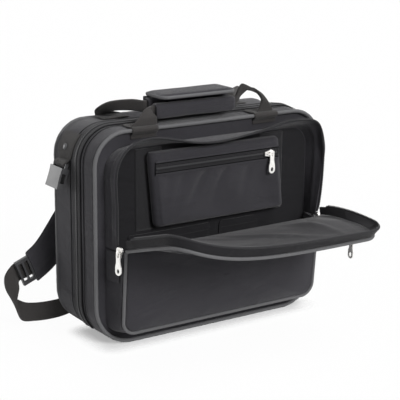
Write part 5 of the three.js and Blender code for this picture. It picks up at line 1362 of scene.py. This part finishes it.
class CASE_OT_padding(MakeCase):
    """Makes the quilted back panel, the pad inside the lid and the plush tray with a nest for each piece."""

    bl_idname = "case.padding"
    bl_label = "Padding"

    NESTS = [(-154.5, 107.5, 23, 69), (-154.5, 81.5, 81, 127), (88.5, 154.5, 81, 115), (-34.5, 115.5, 139, 211),
             (122.5, 154.5, 139, 231)]
    NEST_FLOOR_Y = 36.8

    def make(self):
        self.back()
        self.lid()
        self.tray()

    def back(self):
        """A foam panel, quilted in upright channels 39 mm apart."""
        base, channel = BACK_FACE_Y + SEAT, 39
        half, bottom, top, radius = 118, 52, 220, 20

        def quilted(q, share, depth):
            if depth <= base + 5:
                return 0
            lines = np.exp(-((((q[:, 0] + channel / 2) % channel - channel / 2) / 2.6) ** 2))
            return -2.2 * lines * np.clip((0.9 - share) / 0.06, 0, 1)

        rim = [(1, base), (1, base + 2), (0.97, base + 4.2), (0.88, base + 6)]
        outline = rounded(half, bottom, top, radius, radius, 420)
        form = domed(outline, padded_rows(base, rim, 16, 60, 0.85), quilted)
        pad = piece("back_panel_pad", form, "mesh", "case_body", ["back_pad"])
        edge = upright(rounded(half, bottom, top, radius, radius, 500), base + 1.2)
        piece("back_panel_binding", tube(edge, 1.2, True, 8), "tape", "case_body")

    def lid(self):
        """A foam pad covered in pile: its rim rolls over to a flat face with a few shallow dents."""
        outline = case_ring(SHELL_WALL + 3 * SEAT + FRONT_INSET, SHELL_WALL + 2 * SEAT + TAPE_THICK, 0)[:, [0, 2]]
        base = FRONT_FACE_Y + SHELL_WALL + SEAT

        def soft(q, share, depth):
            return np.clip(ripple(upright(q, 0), 80, 0.5, 61), -0.6, 0) * min(1, (1 - share) * 12)

        rim = [(1, base), (1, base + 2), (0.985, base + 3.6), (0.94, base + 5.1), (0.8, base + 6)]
        form = domed(outline, padded_rows(base, rim, 22, 40, 0.77), soft)
        pad = piece("lid_pad_pile", form, "plush", "lid", ["lid_pad"])

    def nest_distance(self, x, z):
        """Signed distance to the nearest nest, below zero inside. Each nest is a rectangle whose corners have a radius.

        The bell's nest narrows from its rim to its socket as a quadratic curve does.
        """
        radius = 8
        near = np.full(x.shape, 1e3)
        for left, right, low, high in self.NESTS:
            dx = np.abs(x - (left + right) / 2) - (right - left) / 2 + radius
            dz = np.abs(z - (low + high) / 2) - (high - low) / 2 + radius
            d = np.hypot(np.maximum(dx, 0), np.maximum(dz, 0)) + np.minimum(np.maximum(dx, dz), 0) - radius
            near = np.minimum(near, d)
        bell_x, bell_z, long, socket, flare = -154.5, 180, 108, 22, 19
        t = np.sqrt(np.clip((x - bell_x) / long, 0, 1))
        beside = np.abs(z - bell_z) - (socket + flare * (1 - t) ** 2)
        return np.minimum(near, np.maximum(beside, np.abs(x - (bell_x + long / 2)) - long / 2))

    def tray(self):
        """A height field on the case's outline: it falls to the floor where the distance to a nest drops below zero.

        The depth is front + (floor - front) * smoothstep((0.4 - distance) / 3), with a soft lip outside the edge.
        """
        front, back = SPLIT_Y + 2, BACK_FACE_Y - SHELL_WALL - SEAT
        side_gap, base_gap = SHELL_WALL + SEAT, SHELL_WALL + 2 * SEAT + TAPE_THICK
        ring = case_ring(side_gap, base_gap, 0, 1600)
        low, high = ring[:, 2].min(), ring[:, 2].max()
        # Rows stand closer together near the bottom and the top, where the outline turns its corners
        z = low + (high - low) / 2 * (1 - np.cos(np.linspace(0.05, math.pi - 0.05, 230)))
        z[0], z[-1] = low + 0.05, high - 0.05
        z = np.interp(np.linspace(0, 1, 260), np.linspace(0, 1, 230), 0.35 * z + 0.65 * np.linspace(z[0], z[-1], 230))
        right = ring[ring[:, 0] > 0]
        order = np.argsort(right[:, 2])
        u = np.linspace(-1, 1, 340)
        xx = u[None] * np.interp(z, right[order, 2], right[order, 0])[:, None]
        zz = np.broadcast_to(z[:, None], xx.shape)
        d = self.nest_distance(xx, zz)
        t = np.clip((0.4 - d) / 3, 0, 1)
        fall = t * t * (3 - 2 * t)
        rim = np.clip(1 - np.abs(u), 0, 0.03)[None] / 0.03
        lip = -0.5 * np.exp(-(((d - 3.5) / 2.2) ** 2)) + 1.2 * (1 - rim) ** 2
        soft = np.abs(ripple(xyz(xx, 0.0, zz), 60, 0.25, 71))
        face = xyz(xx, front + (self.NEST_FLOOR_Y - front) * fall + (lip + soft) * (1 - fall), zz)
        rear = xyz(xx * 0.995, back, zz)
        grid = np.concatenate([face, rear[:, ::-20][:, :-1], rear[:, :1]], axis=1)
        tray = piece("tray_pile", surface(grid), "plush", "case_body", ["instrument_tray"], 60)
        cord = along(case_ring(side_gap + 1.4, base_gap + 1.4, front + 0.2)[:, [0, 2]], 500, True)
        piece("tray_edging", tube(upright(cord, front + 0.2), 1.3, True, 8), "tape", "case_body")


class CASE_OT_hardware(MakeCase):
    """Gives the buckles, ladder locks, rivets, sliders and pulls their plastic and metal."""

    bl_idname = "case.hardware"
    bl_label = "Hardware"

    def make(self):
        for name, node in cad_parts.items():
            if node.hide_render:
                continue
            plastic = name.startswith(("buckle", "ladder"))
            node.data.materials.clear()
            node.data.materials.append(finishes["plastic" if plastic or "rivet" in name else "nickel"])
            smooth(node.data, 32)


# The stage


def from_bearing(turn, rise):
    """A unit vector towards a bearing, in radians left or right of the front and above the floor."""
    return Vector((math.sin(turn) * math.cos(rise), -math.cos(turn) * math.cos(rise), math.sin(rise)))


class CASE_OT_stage(bpy.types.Operator):
    """Makes the floor, the white surroundings, the soft lamps and the camera."""

    bl_idname = "case.stage"
    bl_label = "Stage"

    LAMPS = [
        ("front_light", 8, 28, 22, 3.0), ("top_light", 60, 68, 35, 1.6), ("left_light", -75, 30, 40, 0.35),
        ("back_light", -144, 8, 30, 0.8),
    ]

    def execute(self, context):
        self.floor(context.scene)
        self.room(context.scene)
        self.lamps(context.scene)
        self.camera(context.scene)
        context.scene.view_settings.view_transform = "Standard"
        return {"FINISHED"}

    def floor(self, scene):
        mesh = bpy.data.meshes.new("floor")
        half = 14.0
        mesh.from_pydata([(-half, -half, 0), (half, -half, 0), (half, half, 0), (-half, half, 0)], [], [(0, 1, 2, 3)])
        floor = bpy.data.objects.new("floor", mesh)
        scene.collection.objects.link(floor)
        floor.visible_shadow = False
        paper = Shader("floor_paper", {
            "Base Color": (0.82, 0.82, 0.82, 1), "Roughness": 0.9, "Specular IOR Level": 0.1,
        })
        cover, clear = Wire(paper, paper.surface.outputs[0]), paper.node("BsdfTransparent")
        mix = paper.node("MixShader", {}, {0: self.seen(paper) * self.away(paper), 1: cover, 2: clear})
        paper.tree.links.new(mix.socket, paper.tree.nodes["Material Output"].inputs["Surface"])
        mesh.materials.append(paper.material)

    def room(self, scene):
        world = bpy.data.worlds.new("white_room")
        scene.world = world
        world.use_nodes = True
        world.node_tree.nodes.clear()
        room = Nodes(world.node_tree)
        lit, shown = (room.node("Background", {}, {"Color": (1, 1, 1, 1), "Strength": s}) for s in (0.12, 1.0))
        mix = room.node("MixShader", {}, {0: self.seen(room), 1: lit, 2: shown})
        out = room.tree.nodes.new("ShaderNodeOutputWorld")
        room.tree.links.new(mix.socket, out.inputs["Surface"])

    def lamps(self, scene):
        for name, azimuth, elevation, spread, strength in self.LAMPS:
            lamp = bpy.data.lights.new(name, "SUN")
            lamp.angle, lamp.energy = math.radians(spread), strength
            holder = bpy.data.objects.new(name, lamp)
            way = from_bearing(math.radians(azimuth), math.radians(elevation))
            holder.location = way * 3
            holder.rotation_euler = way.to_track_quat("Z", "Y").to_euler()
            scene.collection.objects.link(holder)

    def camera(self, scene):
        turn, rise, roll, reach = -0.594117, 0.258154, 0.00975, 1.63227
        target = Vector((-0.018475, -0.052, 0.175642))
        back = from_bearing(turn, rise)
        right = (-back).cross(Vector((0, 0, 1))).normalized()
        up = right.cross(-back)
        side = right * math.cos(roll) + up * math.sin(roll)
        top = up * math.cos(roll) - right * math.sin(roll)
        view = bpy.data.cameras.new("photo_view")
        view.lens, view.sensor_width, view.sensor_fit = 112.31, 36, "HORIZONTAL"
        view.clip_end = 50
        camera = bpy.data.objects.new("photo_view", view)
        turned = Matrix((side, top, back)).transposed().to_4x4()
        camera.matrix_world = Matrix.Translation(target + back * reach) @ turned
        scene.collection.objects.link(camera)
        scene.camera = camera

    @staticmethod
    def away(nodes):
        """How far the paper fades into the white room: length(max(|p - c| - h, 0)) from the case's base, smoothed."""
        value = nodes.node("TexCoord", output="Object")
        for operation, amount in (
            ("SUBTRACT", (0, -0.02, 0)), ("ABSOLUTE", None), ("SUBTRACT", (0.15, 0.03, 0)), ("MAXIMUM", (0, 0, 0)),
        ):
            value = nodes.node("VectorMath", {"operation": operation}, {0: value, **({1: amount} if amount else {})})
        value = nodes.node("VectorMath", {"operation": "LENGTH"}, {0: value}, "Value")
        return nodes.node("MapRange", {"interpolation_type": "SMOOTHSTEP"}, {
            "Value": value, "From Min": 0.0, "From Max": 0.035, "To Min": 0.35, "To Max": 0.965,
        }, "Result")

    @staticmethod
    def seen(nodes):
        """One for what the camera sees, straight on or in metal, and zero for what only gives light."""
        value, *others = (nodes.node("LightPath", output=f"Is {way} Ray")
                          for way in ("Camera", "Glossy", "Transmission"))
        for other in others:
            value = value.sum("MAXIMUM", other)
        return value


PIECES = (
    CASE_OT_shells, CASE_OT_zips, CASE_OT_pocket, CASE_OT_organizer, CASE_OT_pouch, CASE_OT_flap, CASE_OT_handles,
    CASE_OT_tabs, CASE_OT_straps, CASE_OT_padding, CASE_OT_hardware, CASE_OT_stage,
)


class CASE_PT_panel(bpy.types.Panel):
    """Lists the sizes, the colours and the operators in the sidebar."""

    bl_label = "Clarinet Case"
    bl_idname = "CASE_PT_panel"
    bl_space_type = "VIEW_3D"
    bl_region_type = "UI"
    bl_category = "Clarinet Case"

    def draw(self, context):
        for settings in (context.scene.case_sizes, context.scene.case_colours):
            box = self.layout.box()
            for prop in settings.bl_rna.properties:
                if prop.identifier not in {"rna_type", "name"}:
                    box.prop(settings, prop.identifier)
        for kind in PIECES:
            self.layout.operator(kind.bl_idname)


def register():
    for kind in (CaseSizes, CaseColours, *PIECES, CASE_PT_panel):
        bpy.utils.register_class(kind)
    bpy.types.Scene.case_sizes = bpy.props.PointerProperty(type=CaseSizes)
    bpy.types.Scene.case_colours = bpy.props.PointerProperty(type=CaseColours)


def unregister():
    del bpy.types.Scene.case_sizes, bpy.types.Scene.case_colours
    for kind in reversed((CaseSizes, CaseColours, *PIECES, CASE_PT_panel)):
        bpy.utils.unregister_class(kind)


def main():
    register()
    for kind in PIECES:
        group, name = kind.bl_idname.split(".")
        getattr(getattr(bpy.ops, group), name)()


if __name__ == "__main__":
    main()
